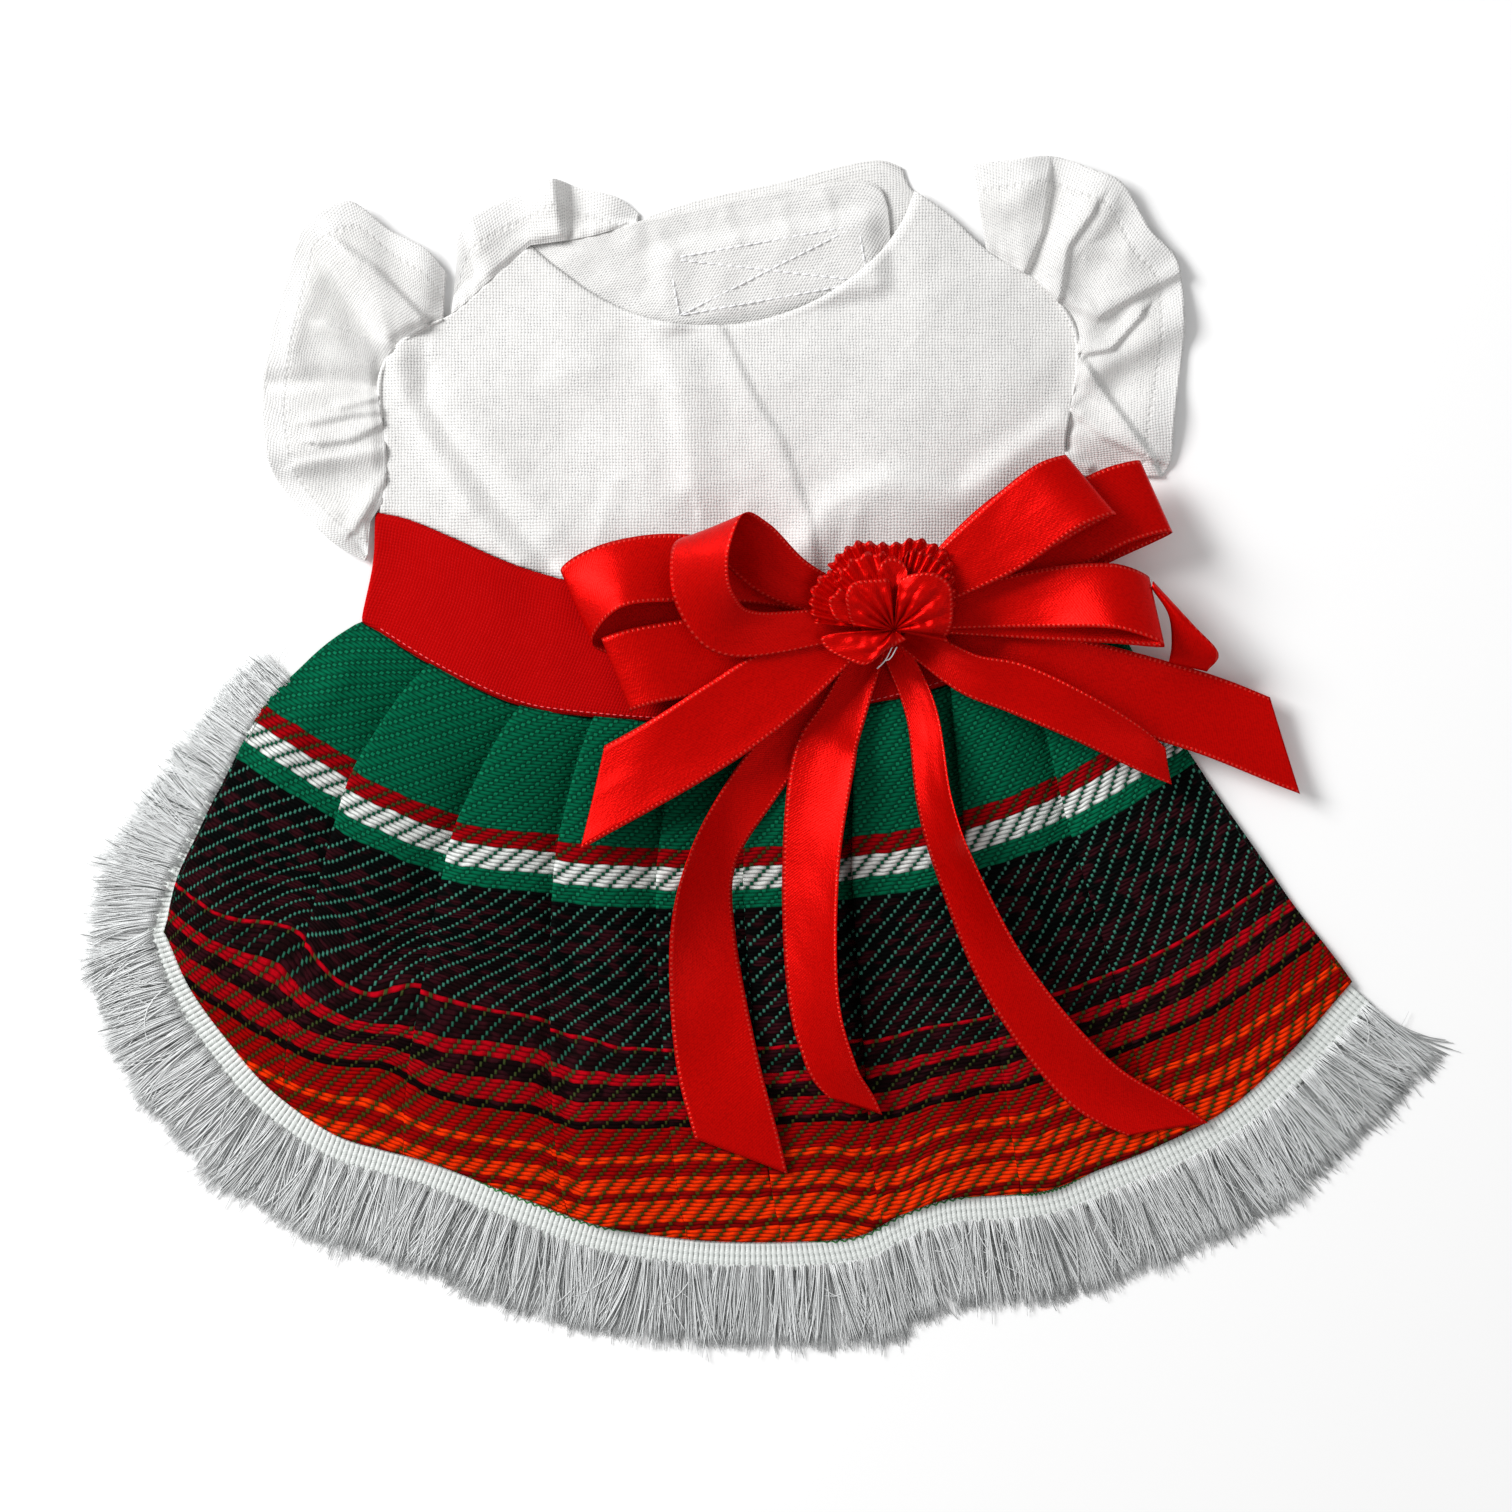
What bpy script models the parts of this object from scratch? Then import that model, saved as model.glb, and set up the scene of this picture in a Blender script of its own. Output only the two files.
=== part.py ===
# A serape dress for a small pet, laid flat on a surface with its back up.
# X runs to the right, Y towards the neck and Z up from the surface it lies on.
# The origin is at the centre of the dress, on the surface. Tables are in millimetres.
import bmesh
import bpy
import math
import numpy as np

MM = 0.001
WALL = 1.2
RIBBON_WALL = 0.9
GAP = 0.3
SEAM_GAP = 0.45
CENTRE_SHIFT = (1.0, 2.0)

# Heights of the middle of a wall: on the surface, then one and two layers up
ON_FLOOR = WALL / 2
ON_ONE_LAYER = ON_FLOOR + WALL + GAP
TAPE_THICK = 2.0
TAPE_LEVEL = WALL + GAP + TAPE_THICK / 2
ON_TAPE = TAPE_LEVEL + TAPE_THICK / 2 + GAP + WALL / 2

# Outlines, each row x, y
NECKLINE = (
    (-71.8, 160.4), (-62.3, 152.5), (-49.7, 143.7), (-33.9, 137.3), (-18.0, 135.1),
    (0.9, 136.7), (19.9, 143.7), (35.8, 155.1), (45.3, 166.8), (50.0, 177.8),
)
BODICE_LEFT = (
    (-71.8, 160.4), (-84.5, 149.4), (-95.6, 139.5), (-105.1, 134.8), (-113.6, 129.1),
    (-119.0, 120.9), (-119.9, 111.4), (-118.0, 98.7), (-117.7, 87.7), (-119.6, 75.6),
)
BODICE_RIGHT = (
    (50.0, 177.8), (61.1, 169.9), (73.7, 158.2), (85.8, 151.3), (94.9, 143.4),
    (100.9, 133.5), (101.9, 122.5), (100.0, 111.1), (97.8, 97.2), (100.9, 82.9),
)
WAIST_TOP = (
    (-119.6, 75.6), (-110.1, 73.4), (-95.6, 67.4), (-81.0, 60.8), (-68.0, 56.3), (-43.4, 50.1),
    (-18.0, 47.8), (10.4, 48.1), (38.9, 52.5), (64.2, 59.8), (83.2, 68.7), (100.9, 82.9),
)
WAIST_LOW = (
    (-124.4, 40.8), (-104.4, 28.2), (-87.0, 19.3), (-74.7, 14.6), (-63.0, 12.3), (-36.4, 9.8),
    (-18.0, 9.5), (7.3, 10.8), (35.8, 14.9), (63.0, 22.5), (87.0, 33.5), (108.5, 48.1),
)
WAIST_LEFT = ((-119.6, 75.6), (-120.5, 60.0), (-124.4, 40.8))
WAIST_RIGHT = ((100.9, 82.9), (106.0, 66.0), (108.5, 48.1))
SKIRT_LEFT = (
    (-124.4, 40.8), (-133.5, 34.8), (-144.6, 25.3), (-153.5, 16.5), (-162.0, 2.2),
    (-169.3, -12.0), (-176.3, -26.3), (-182.6, -40.5), (-187.3, -57.9),
)
SKIRT_RIGHT = ((108.5, 48.1), (118.0, 30.7), (133.9, 2.2), (149.7, -21.5), (168.7, -48.4), (187.7, -73.7))
HEM = (
    (-187.3, -57.9), (-179.4, -75.3), (-166.8, -92.7), (-154.1, -107.0), (-135.1, -120.6),
    (-119.3, -125.9), (-103.5, -130.1), (-75.0, -141.1), (-49.7, -150.0), (-18.0, -154.7),
    (13.6, -155.1), (32.6, -153.2), (45.3, -146.8), (61.1, -141.5), (76.9, -140.5), (92.7, -138.6),
    (108.5, -132.3), (127.5, -124.7), (149.7, -112.7), (168.7, -95.3), (187.7, -73.7),
)
FLAP_LEFT_TOP = (
    (-71.8, 160.4), (-52.8, 163.3), (-37.0, 168.2), (-18.0, 172.6), (-2.2, 176.3), (18.0, 179.5),
    (31.3, 181.0), (38.9, 178.6), (41.5, 172.6),
)
FLAP_LEFT_END = ((41.5, 172.6), (42.7, 158.9), (44.0, 127.2), (45.3, 89.2), (46.2, 54.4))
FLAP_RIGHT_TOP = (
    (-35.0, 169.6), (-18.0, 175.0), (7.3, 180.5), (26.3, 185.5), (38.9, 187.5), (46.8, 184.8), (50.0, 177.8),
)
FLAP_RIGHT_END = ((-35.0, 169.6), (-35.0, 49.4))
TAPE_CORNERS = ((-29.7, 156.3), (33.9, 167.7), (37.2, 148.6), (-26.4, 137.2))
RUFFLE_LEFT_EDGE = (
    (-98.4, 151.9), (-105.4, 159.5), (-116.8, 165.5), (-125.6, 172.8), (-131.3, 174.1),
    (-143.0, 168.7), (-145.9, 161.4), (-150.9, 144.3), (-154.4, 131.3), (-157.0, 110.1),
    (-153.5, 88.9), (-139.9, 71.8), (-131.6, 64.6), (-123.8, 60.5),
)
RUFFLE_RIGHT_EDGE = (
    (68.4, 186.0), (79.7, 187.3), (94.0, 188.6), (107.0, 184.2), (116.1, 179.7), (124.4, 165.5),
    (133.2, 155.4), (135.4, 136.4), (134.5, 124.1), (132.3, 106.0), (131.3, 93.0), (128.5, 87.3),
)
RUFFLE_BACK_EDGE = (
    (-95.4, 152.5), (-94.2, 164.6), (-86.7, 171.5), (-70.6, 178.8), (-64.6, 181.3), (-56.3, 178.8),
    (-44.3, 175.6), (-37.3, 172.2),
)

# Where each ruffle's seam starts and ends, as parts of the bodice's side
RUFFLE_LEFT_SEAM = (0.335, 0.97)
RUFFLE_RIGHT_SEAM = (0.25, 0.96)
RUFFLE_BACK_SEAM = (0.305, 0.0)

# The left ruffle hangs on past the waist seam, beside the band
RUFFLE_BELOW_WAIST = ((-122.4, 73.0), (-123.3, 62.5))

# Skirt pleats, each row x at the waist, x at the hem, height at the hip, height at the hem,
# width of the slope on the left and of the slope on the right
PLEATS = (
    (-103.0, -150.0, 6.0, 1.6, 5.0, 13.0),
    (-74.0, -112.0, 7.5, 2.2, 5.0, 13.0),
    (-51.0, -60.0, 8.0, 2.6, 5.0, 12.0),
    (-24.0, -22.0, 6.0, 2.4, 7.0, 10.0),
    (0.0, 8.0, 5.5, 2.0, 7.0, 9.0),
    (32.0, 40.0, 7.5, 3.6, 6.0, 11.0),
    (62.0, 84.0, 7.5, 3.0, 7.0, 10.0),
    (86.0, 128.0, 6.5, 2.0, 7.0, 12.0),
)
PLEAT_PEAK = 0.22

# Soft folds of the bodice, each row x and y of both ends, height, width
BODICE_FOLDS = (
    (-107.0, 117.0, -72.0, 62.0, 1.9, 7.0),
    (-98.0, 113.0, -66.0, 72.0, -1.2, 6.0),
    (-36.0, 138.0, -24.0, 108.0, 1.6, 8.0),
    (-11.0, 131.0, 16.0, 62.0, 1.3, 7.0),
    (94.0, 104.0, 42.0, 85.0, 1.8, 8.0),
    (42.0, 85.0, 16.0, 66.0, 1.3, 7.0),
)

# Gathers of the ruffles, each row part of the seam, part of the outer edge, height, width
GATHERS_LEFT = (
    (0.08, 0.05, 5.0, 0.05), (0.20, 0.27, 8.0, 0.07), (0.36, 0.45, 7.0, 0.05),
    (0.50, 0.57, 5.0, 0.05), (0.66, 0.72, 7.5, 0.05), (0.84, 0.90, 6.0, 0.05),
)
GATHERS_RIGHT = (
    (0.12, 0.10, 6.5, 0.05), (0.27, 0.27, 8.0, 0.06), (0.44, 0.44, 6.5, 0.05),
    (0.58, 0.62, 6.0, 0.05), (0.74, 0.78, 7.0, 0.05), (0.92, 0.95, 4.5, 0.04),
)
GATHERS_BACK = ((0.30, 0.20, 5.0, 0.09), (0.62, 0.60, 6.0, 0.08), (0.88, 0.85, 3.0, 0.08))

# Fringe round the hem, each row part of the way from the left side's top to the hem's right end,
# width of the woven header, reach of the strands from the cloth
FRINGE_WIDTHS = (
    (0.00, 3.0, 14.0), (0.09, 4.0, 22.0), (0.17, 7.0, 27.0), (0.24, 11.0, 33.0),
    (0.45, 11.5, 34.0), (0.60, 11.5, 33.0), (0.80, 11.5, 35.0), (1.00, 11.5, 36.0),
)
FRINGE_START = 0.24
LOCKS = 224
LOCK_SHARE = 0.72
LOCK_END_HEIGHT = 0.6

# The bow's gathered middle, bound with thread: centre, radius, bottom and top
BINDING_CENTRE = (40.0, 42.0)
BINDING_RADIUS = 8.0
BINDING_BOTTOM = 5.0
BINDING_TOP = 20.2

# Ribbon tails: height at the binding, how much longer the left edge is cut, then rows from the
# binding to the free end: x, y, height over the dress, width as seen from above, lean in degrees
ROOT_WIDTH = 9.0
TAILS = {
    "tail_left_1": (16.4, 23.0, (
        (10.0, 24.0, 13.2, 22.0, 0.0), (-8.0, 11.5, 12.6, 25.0, 0.0),
        (-27.0, -0.5, 9.8, 25.0, 0.0), (-52.0, -14.5, 1.5, 25.0, 6.0),
    )),
    "tail_left_2": (6.6, 18.0, (
        (14.0, 8.0, 1.2, 15.0, 0.0), (-1.0, -11.0, 2.2, 16.0, -12.0),
        (-14.0, -34.0, 2.4, 15.0, -42.0), (-17.0, -60.0, 2.4, 21.0, -25.0),
        (-12.5, -97.0, 2.6, 26.0, 5.0), (-5.0, -128.0, 1.8, 26.0, 0.0),
    )),
    "tail_left_3": (8.4, 14.0, (
        (27.0, 12.0, 2.2, 15.0, 5.0), (21.0, -3.0, 2.2, 20.0, 15.0),
        (17.0, -36.0, 2.5, 18.0, 30.0), (17.5, -75.0, 2.5, 16.0, 38.0), (23.0, -98.0, 2.0, 15.0, 25.0),
        (31.0, -112.0, 0.8, 12.0, 5.0),
    )),
    "tail_right_4": (6.6, 20.0, (
        (52.0, 12.0, 1.0, 10.0, 25.0), (56.0, -16.0, 1.5, 11.0, 45.0),
        (63.0, -38.0, 2.0, 12.5, 50.0), (79.0, -72.0, 2.0, 16.5, 35.0), (104.0, -103.0, 1.5, 19.0, 15.0),
        (130.0, -119.5, 0.8, 17.0, 0.0),
    )),
    "tail_right_5": (8.6, -20.0, (
        (72.0, 31.0, 4.5, 19.0, 0.0), (90.0, 26.0, 4.5, 24.0, 4.0),
        (112.0, 20.5, 4.0, 25.0, 0.0), (140.0, 12.5, 4.0, 25.0, -6.0), (167.0, 2.0, 6.0, 25.0, 0.0),
    )),
    "tail_right_6": (11.5, -8.0, (
        (66.0, 25.0, 8.5, 13.0, 8.0), (82.0, 20.0, 8.5, 16.0, 10.0),
        (102.0, 11.0, 8.5, 15.0, 15.0), (119.0, 2.0, 7.0, 13.0, 12.0), (130.0, -4.5, 5.5, 9.0, 0.0),
    )),
}

# Ribbon loops: heights of the lower and upper strand at the binding, then rows along the lower
# strand, round the far end and back: x, y, height, direction of the width, its lean, width
LOOPS = {
    "loop_left_1": ((8.0, 13.2), (
        (-10.0, 43.0, 8.4, -85.0, 0.0, 23.0), (-44.0, 42.5, 8.3, -78.0, 0.0, 25.0),
        (-57.0, 46.0, 12.0, -66.0, 4.0, 25.0), (-44.0, 56.0, 17.5, -80.0, 28.0, 24.0),
        (-20.0, 58.0, 14.5, -82.0, 12.0, 22.0), (5.0, 54.0, 13.2, -80.0, 3.0, 17.0),
    )),
    "loop_left_3": ((10.0, 11.6), (
        (-12.0, 32.0, 10.6, -80.0, 0.0, 23.0), (-38.0, 26.5, 11.0, -72.0, 0.0, 25.0),
        (-44.5, 24.3, 14.4, -68.0, 0.0, 25.0), (-34.0, 27.5, 16.8, -72.0, 2.0, 25.0),
        (-10.0, 31.5, 13.8, -78.0, 0.0, 23.0),
    )),
    "loop_left_2": ((14.8, 17.9), (
        (10.0, 54.0, 19.5, 45.0, 12.0, 17.0), (-4.0, 66.0, 24.0, 35.0, 33.0, 23.0),
        (-13.0, 71.0, 28.5, 22.0, 40.0, 25.0), (-18.0, 62.0, 32.0, 0.0, 40.0, 24.0),
        (-16.0, 47.0, 29.5, 15.0, 33.0, 22.0), (-4.0, 37.0, 24.0, 60.0, 15.0, 17.0),
    )),
    "loop_right_2": ((6.6, 10.2), (
        (84.0, 60.0, 8.0, -66.0, 0.0, 23.0), (108.0, 72.0, 9.0, -62.0, 0.0, 25.0),
        (126.0, 80.5, 13.5, -66.0, 6.0, 25.0), (112.0, 77.0, 17.5, -62.0, 6.0, 25.0),
        (88.0, 64.0, 13.0, -62.0, 0.0, 22.0),
    )),
    "loop_right_1": ((16.8, 18.4), (
        (74.0, 66.0, 20.2, -56.0, 0.0, 22.0), (96.0, 80.0, 21.0, -52.0, 5.0, 25.0),
        (105.0, 84.0, 25.0, -50.0, 10.0, 25.0), (94.0, 80.0, 28.5, -50.0, 12.0, 25.0),
        (74.0, 65.0, 24.0, -54.0, 5.0, 22.0),
    )),
    "loop_right_3": ((13.6, 15.1), (
        (82.0, 45.0, 15.6, -88.0, 0.0, 19.0), (110.0, 46.0, 17.0, -85.0, 10.0, 24.0),
        (126.0, 44.0, 20.5, -78.0, 22.0, 24.0), (112.0, 49.0, 24.5, -88.0, 20.0, 22.0),
        (86.0, 48.0, 18.8, -88.0, 3.0, 18.0),
    )),
}

# Rosette of gathered ribbon: centre, then each row turns wound, inner and outer radius, height
ROSETTE_CENTRE = (39.5, 46.5)
ROSETTE_FLATTEN = 0.86
ROSETTE_TURNS = (
    (0.0, 4.0, 23.0, 21.0), (1.0, 3.2, 20.0, 26.5), (2.0, 2.4, 14.0, 33.0),
)
ROSETTE_WAVES = 11
ROSETTE_WAVE_HEIGHT = 2.6
ROSETTE_RISE = 3.5
ROSETTE_TILT = 0.08

# How finely each piece is divided
BODICE_CELLS = (24, 14)
FLAP_CELLS = (14, 8)
RUFFLE_CELLS = (30, 5)
BACK_RUFFLE_CELLS = (12, 4)
WAIST_CELLS = (24, 2)
SKIRT_CELLS = (66, 9)
TAIL_CELLS = (2, 17)
LOOP_CELLS = (2, 22)
ROSETTE_CELLS = (72, 3)
BINDING_SIDES = 16

# sRGB colour and roughness of each cloth
CLOTHS = {
    "white_cotton": ("#f2f2f3", 0.9),
    "red_cotton": ("#c40d12", 0.85),
    "serape_cloth": ("#7c1410", 0.85),
    "satin_ribbon": ("#d00a08", 0.35),
    "fringe_rayon": ("#eceff0", 0.5),
    "hook_loop": ("#f0f0f0", 0.9),
}


def clear_scene():
    """Remove every object of the open file."""
    for item in list(bpy.data.objects):
        bpy.data.objects.remove(item, do_unlink=True)


def linear(hex_colour):
    """Turn an sRGB hex colour into linear red, green, blue and alpha."""
    values = [int(hex_colour[i:i + 2], 16) / 255 for i in (1, 3, 5)]
    return [v / 12.92 if v <= 0.04045 else ((v + 0.055) / 1.055) ** 2.4 for v in values] + [1.0]


def cloth_material(name):
    """Principled material of one cloth, by its name in CLOTHS."""
    found = bpy.data.materials.get(name)
    if found:
        return found
    colour, roughness = CLOTHS[name]
    material = bpy.data.materials.new(name)
    material.use_nodes = True
    surface = material.node_tree.nodes["Principled BSDF"]
    surface.inputs["Base Color"].default_value = linear(colour)
    surface.inputs["Roughness"].default_value = roughness
    return material


def smoothstep(low, high, value):
    """Rise smoothly from 0 at low to 1 at high."""
    part = np.clip((value - low) / (high - low), 0.0, 1.0)
    return part * part * (3.0 - 2.0 * part)


def lengths_along(points):
    """Length from the first point to each point of a line."""
    steps = np.linalg.norm(np.diff(points, axis=0), axis=1)
    return np.concatenate([[0.0], np.cumsum(steps)])


def smooth_rows(rows, parts, measure=2):
    """Values on a smooth curve through table rows, at parts from 0 to 1 of its length.

    The rows are joined by a Catmull-Rom spline; the first `measure` columns give the length.
    """
    rows = np.asarray(rows, float)
    padded = np.vstack([2 * rows[0] - rows[1], rows, 2 * rows[-1] - rows[-2]])
    inside = np.linspace(0.0, 1.0, 9)[:-1]
    pieces = []
    for a, b, c, d in zip(padded[:-3], padded[1:-2], padded[2:-1], padded[3:]):
        t = inside[:, None]
        pieces.append(0.5 * (2 * b + (c - a) * t + (2 * a - 5 * b + 4 * c - d) * t ** 2
                             + (3 * b - a - 3 * c + d) * t ** 3))
    dense = np.vstack(pieces + [rows[-1:]])
    length = lengths_along(dense[:, :measure])
    wanted = np.asarray(parts) * length[-1]
    return np.column_stack([np.interp(wanted, length, column) for column in dense.T])


def along_line(points, parts):
    """Points on a polyline at parts from 0 to 1 of its length, on its own straight runs."""
    points = np.asarray(points, float)
    length = lengths_along(points[:, :2])
    wanted = np.asarray(parts) * length[-1]
    return np.column_stack([np.interp(wanted, length, column) for column in points.T])


def part_at(line, x):
    """Share of a line's length at which it reaches x."""
    length = lengths_along(line[:, :2])
    return np.interp(x, line[:, 0], length / length[-1])


def move_sideways(points, distance):
    """Move a line in plan to its left by a distance, or by one distance for each point."""
    along = np.gradient(points[:, :2], axis=0)
    along /= np.linalg.norm(along, axis=1)[:, None]
    left = np.column_stack([-along[:, 1], along[:, 0]])
    return points[:, :2] + left * np.broadcast_to(distance, len(points))[:, None]


def fill_between(top, bottom, left, right):
    """Coons patch in plan: four border lines filled with a grid that keeps their shapes."""
    rows, columns = len(left), len(top)
    v = np.linspace(0.0, 1.0, rows)[:, None, None]
    u = np.linspace(0.0, 1.0, columns)[None, :, None]
    down = (1 - v) * top[None] + v * bottom[None]
    across = (1 - u) * left[:, None] + u * right[:, None]
    corners = ((1 - v) * ((1 - u) * top[0] + u * top[-1]) + v * ((1 - u) * bottom[0] + u * bottom[-1]))
    return down + across - corners


def panel_plan(top, bottom, left, right, cells):
    """Grid in plan of a panel whose four borders are smooth curves through tables."""
    u = np.linspace(0.0, 1.0, cells[0] + 1)
    v = np.linspace(0.0, 1.0, cells[1] + 1)
    rows, columns = [smooth_rows(r, u) for r in (top, bottom)], [smooth_rows(r, v) for r in (left, right)]
    return fill_between(*rows, *columns)


def with_height(plan, height):
    """Add a height to each point of a grid in plan."""
    return np.dstack([plan, np.broadcast_to(height, plan.shape[:2])])


def add_wall(name, grid, cloth, wall=WALL, smooth=True):
    """Make one closed piece of cloth: a grid of points through the middle of its wall, made solid."""
    rows, columns = grid.shape[:2]
    index = np.arange(rows * columns).reshape(rows, columns)
    faces = np.stack([index[1:, :-1], index[1:, 1:], index[:-1, 1:], index[:-1, :-1]], axis=-1)
    mesh = bpy.data.meshes.new(name)
    points = (grid.reshape(-1, 3) + [*CENTRE_SHIFT, 0.0]) * MM
    mesh.from_pydata(points.tolist(), [], faces.reshape(-1, 4).tolist())
    mesh.update()
    piece = bpy.data.objects.new(name, mesh)
    bpy.context.scene.collection.objects.link(piece)
    mesh.materials.append(cloth_material(cloth))
    solid = piece.modifiers.new("Wall", "SOLIDIFY")
    solid.thickness = wall * MM
    solid.offset = 0.0
    if smooth:
        mesh.shade_smooth()
    return piece


def bump(distance):
    """Rounded ridge: 1 at its crest, 0 beyond a distance of 1."""
    return np.where(np.abs(distance) < 1.0, (1.0 - np.clip(distance, -1, 1) ** 2) ** 2, 0.0)


def distance_to_segment(plan, x0, y0, x1, y1):
    """Distance in plan from each grid point to a straight segment."""
    start, run = np.array([x0, y0]), np.array([x1 - x0, y1 - y0])
    part = np.clip(((plan - start) @ run) / (run @ run), 0.0, 1.0)
    return np.linalg.norm(plan - start - part[..., None] * run, axis=-1)


def flap_height(plan):
    """Middle height of the left flap: on the surface, over the right flap, and over the tape."""
    x, y = plan[..., 0], plan[..., 1]
    over_flap = smoothstep(-74.0, -52.0, x) * (ON_ONE_LAYER - ON_FLOOR)
    tape = np.array(TAPE_CORNERS)
    middle = (tape[0] + tape[1] + tape[2] + tape[3]) / 4
    along = (tape[1] - tape[0]) / np.linalg.norm(tape[1] - tape[0])
    aside = np.array([-along[1], along[0]])
    offset = plan - middle
    end = smoothstep(54.0, 40.0, np.abs(offset @ along))
    side = smoothstep(32.0, 18.0, np.abs(offset @ aside))
    return ON_FLOOR + over_flap + (ON_TAPE - ON_ONE_LAYER) * end * side


def under_bodice_height(plan):
    """Middle height of whatever lies highest under the bodice's upper panel."""
    past_flap = smoothstep(50.0, 74.0, plan[..., 0])
    return flap_height(plan) * (1 - past_flap) + ON_FLOOR * past_flap


def bodice_plan():
    return panel_plan(NECKLINE, WAIST_TOP, BODICE_LEFT, BODICE_RIGHT, BODICE_CELLS)


def bodice_height(plan):
    """Middle height of the upper panel: the layers below, a soft loft, and its folds."""
    rows, columns = plan.shape[:2]
    u = np.linspace(0.0, 1.0, columns)[None, :]
    v = np.linspace(0.0, 1.0, rows)[:, None]
    inside = smoothstep(0.0, 0.16, u) * smoothstep(1.0, 0.84, u)
    inside = inside * (0.35 + 0.65 * smoothstep(0.0, 0.3, v)) * (0.45 + 0.55 * smoothstep(1.0, 0.8, v))
    height = under_bodice_height(plan) + WALL + GAP + 0.25 + 2.1 * inside
    for x0, y0, x1, y1, high, wide in BODICE_FOLDS:
        height = height + high * inside * bump(distance_to_segment(plan, x0, y0, x1, y1) / (1.6 * wide))
    return height


def upper_bodice():
    plan = bodice_plan()
    grid = with_height(plan, bodice_height(plan))
    add_wall("bodice_upper", grid, "white_cotton")
    return grid


def under_flaps(bodice):
    """The two flaps under the body: the right one on the surface, the left one over it.

    Their sides and lower edges follow the upper panel's own border lines.
    """
    u = np.linspace(0.0, 1.0, FLAP_CELLS[0] + 1)
    v = np.linspace(0.0, 1.0, FLAP_CELLS[1] + 1)
    waist = bodice[-1, :, :2]
    end_at, start_at = part_at(waist, FLAP_LEFT_END[-1][0]), part_at(waist, FLAP_RIGHT_END[-1][0])
    low_left = along_line(waist, u * end_at)
    low_right = along_line(waist, start_at + u * (1.0 - start_at))
    right_end, left_end = smooth_rows(FLAP_RIGHT_END, v), smooth_rows(FLAP_LEFT_END, v)
    right_end[-1], left_end[-1] = low_right[0], low_left[-1]
    right = fill_between(smooth_rows(FLAP_RIGHT_TOP, u), low_right, right_end,
                         along_line(bodice[:, -1, :2], v))
    add_wall("bodice_under_right", with_height(right, ON_FLOOR), "white_cotton")
    left = fill_between(smooth_rows(FLAP_LEFT_TOP, u), low_left, along_line(bodice[:, 0, :2], v), left_end)
    add_wall("bodice_under_left", with_height(left, flap_height(left)), "white_cotton")


def closure_tape():
    """Hook and loop tape, pressed together between the flaps."""
    a, b, c, d = (np.array(corner) for corner in TAPE_CORNERS)
    u = np.linspace(0.0, 1.0, 5)[:, None]
    plan = fill_between(a + (b - a) * u, d + (c - d) * u, np.array([a, d]), np.array([b, c]))
    add_wall("closure_tape", with_height(plan, TAPE_LEVEL), "hook_loop", TAPE_THICK, smooth=False)


def gathered(rows, columns, folds, seam_height):
    """Middle height of a ruffle: level at its seam, then ridges that fan out and rise to the edge."""
    v = np.linspace(0.0, 1.0, rows)[:, None]
    u = np.linspace(0.0, 1.0, columns)[None, :]
    height = ON_FLOOR + (seam_height - ON_FLOOR) * smoothstep(0.45, 0.0, v)
    for at_seam, at_edge, high, wide in folds:
        crest = at_seam + (at_edge - at_seam) * v
        rise = np.sin(np.pi * np.clip(v * 0.62 + 0.06, 0, 1)) * smoothstep(0.0, 0.12, v)
        height = height + high * rise * bump((u - crest) / (1.9 * wide))
    return height


def ruffle(name, seam, edge, cells, folds):
    """One gathered ruffle between its seam line and its outer edge."""
    u = np.linspace(0.0, 1.0, cells[0] + 1)
    v = np.linspace(0.0, 1.0, cells[1] + 1)
    top = along_line(seam, u)[:, :2]
    bottom = smooth_rows(edge, u)
    left = top[0] + (bottom[0] - top[0]) * v[:, None]
    right = top[-1] + (bottom[-1] - top[-1]) * v[:, None]
    plan = fill_between(top, bottom, left, right)
    height = gathered(cells[1] + 1, cells[0] + 1, folds, ON_ONE_LAYER)
    grid = with_height(plan, height)
    add_wall(name, grid, "white_cotton")
    return grid


def seam_part(border, span, steps=40):
    """Part of a border line between two shares of its length."""
    return along_line(border, np.linspace(span[0], span[1], steps))


def ruffles(bodice):
    """Left and right ruffle sleeves, and the part of the left one that shows behind the neck."""
    left_border, right_border = bodice[:, 0], bodice[:, -1]
    left = move_sideways(seam_part(left_border, RUFFLE_LEFT_SEAM), -SEAM_GAP)
    right = move_sideways(seam_part(right_border, RUFFLE_RIGHT_SEAM), SEAM_GAP)
    left = np.vstack([left, RUFFLE_BELOW_WAIST])
    grids = [
        ruffle("ruffle_left", left, RUFFLE_LEFT_EDGE, RUFFLE_CELLS, GATHERS_LEFT),
        ruffle("ruffle_right", right, RUFFLE_RIGHT_EDGE, RUFFLE_CELLS, GATHERS_RIGHT),
    ]
    shoulder = move_sideways(seam_part(left_border, RUFFLE_BACK_SEAM, 12), SEAM_GAP)
    neck = move_sideways(smooth_rows(FLAP_LEFT_TOP, np.linspace(0.02, 0.29, 10)), SEAM_GAP)
    seam = np.vstack([shoulder, neck])
    grids.append(ruffle("ruffle_left_back", seam, RUFFLE_BACK_EDGE, BACK_RUFFLE_CELLS, GATHERS_BACK))
    return grids


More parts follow.
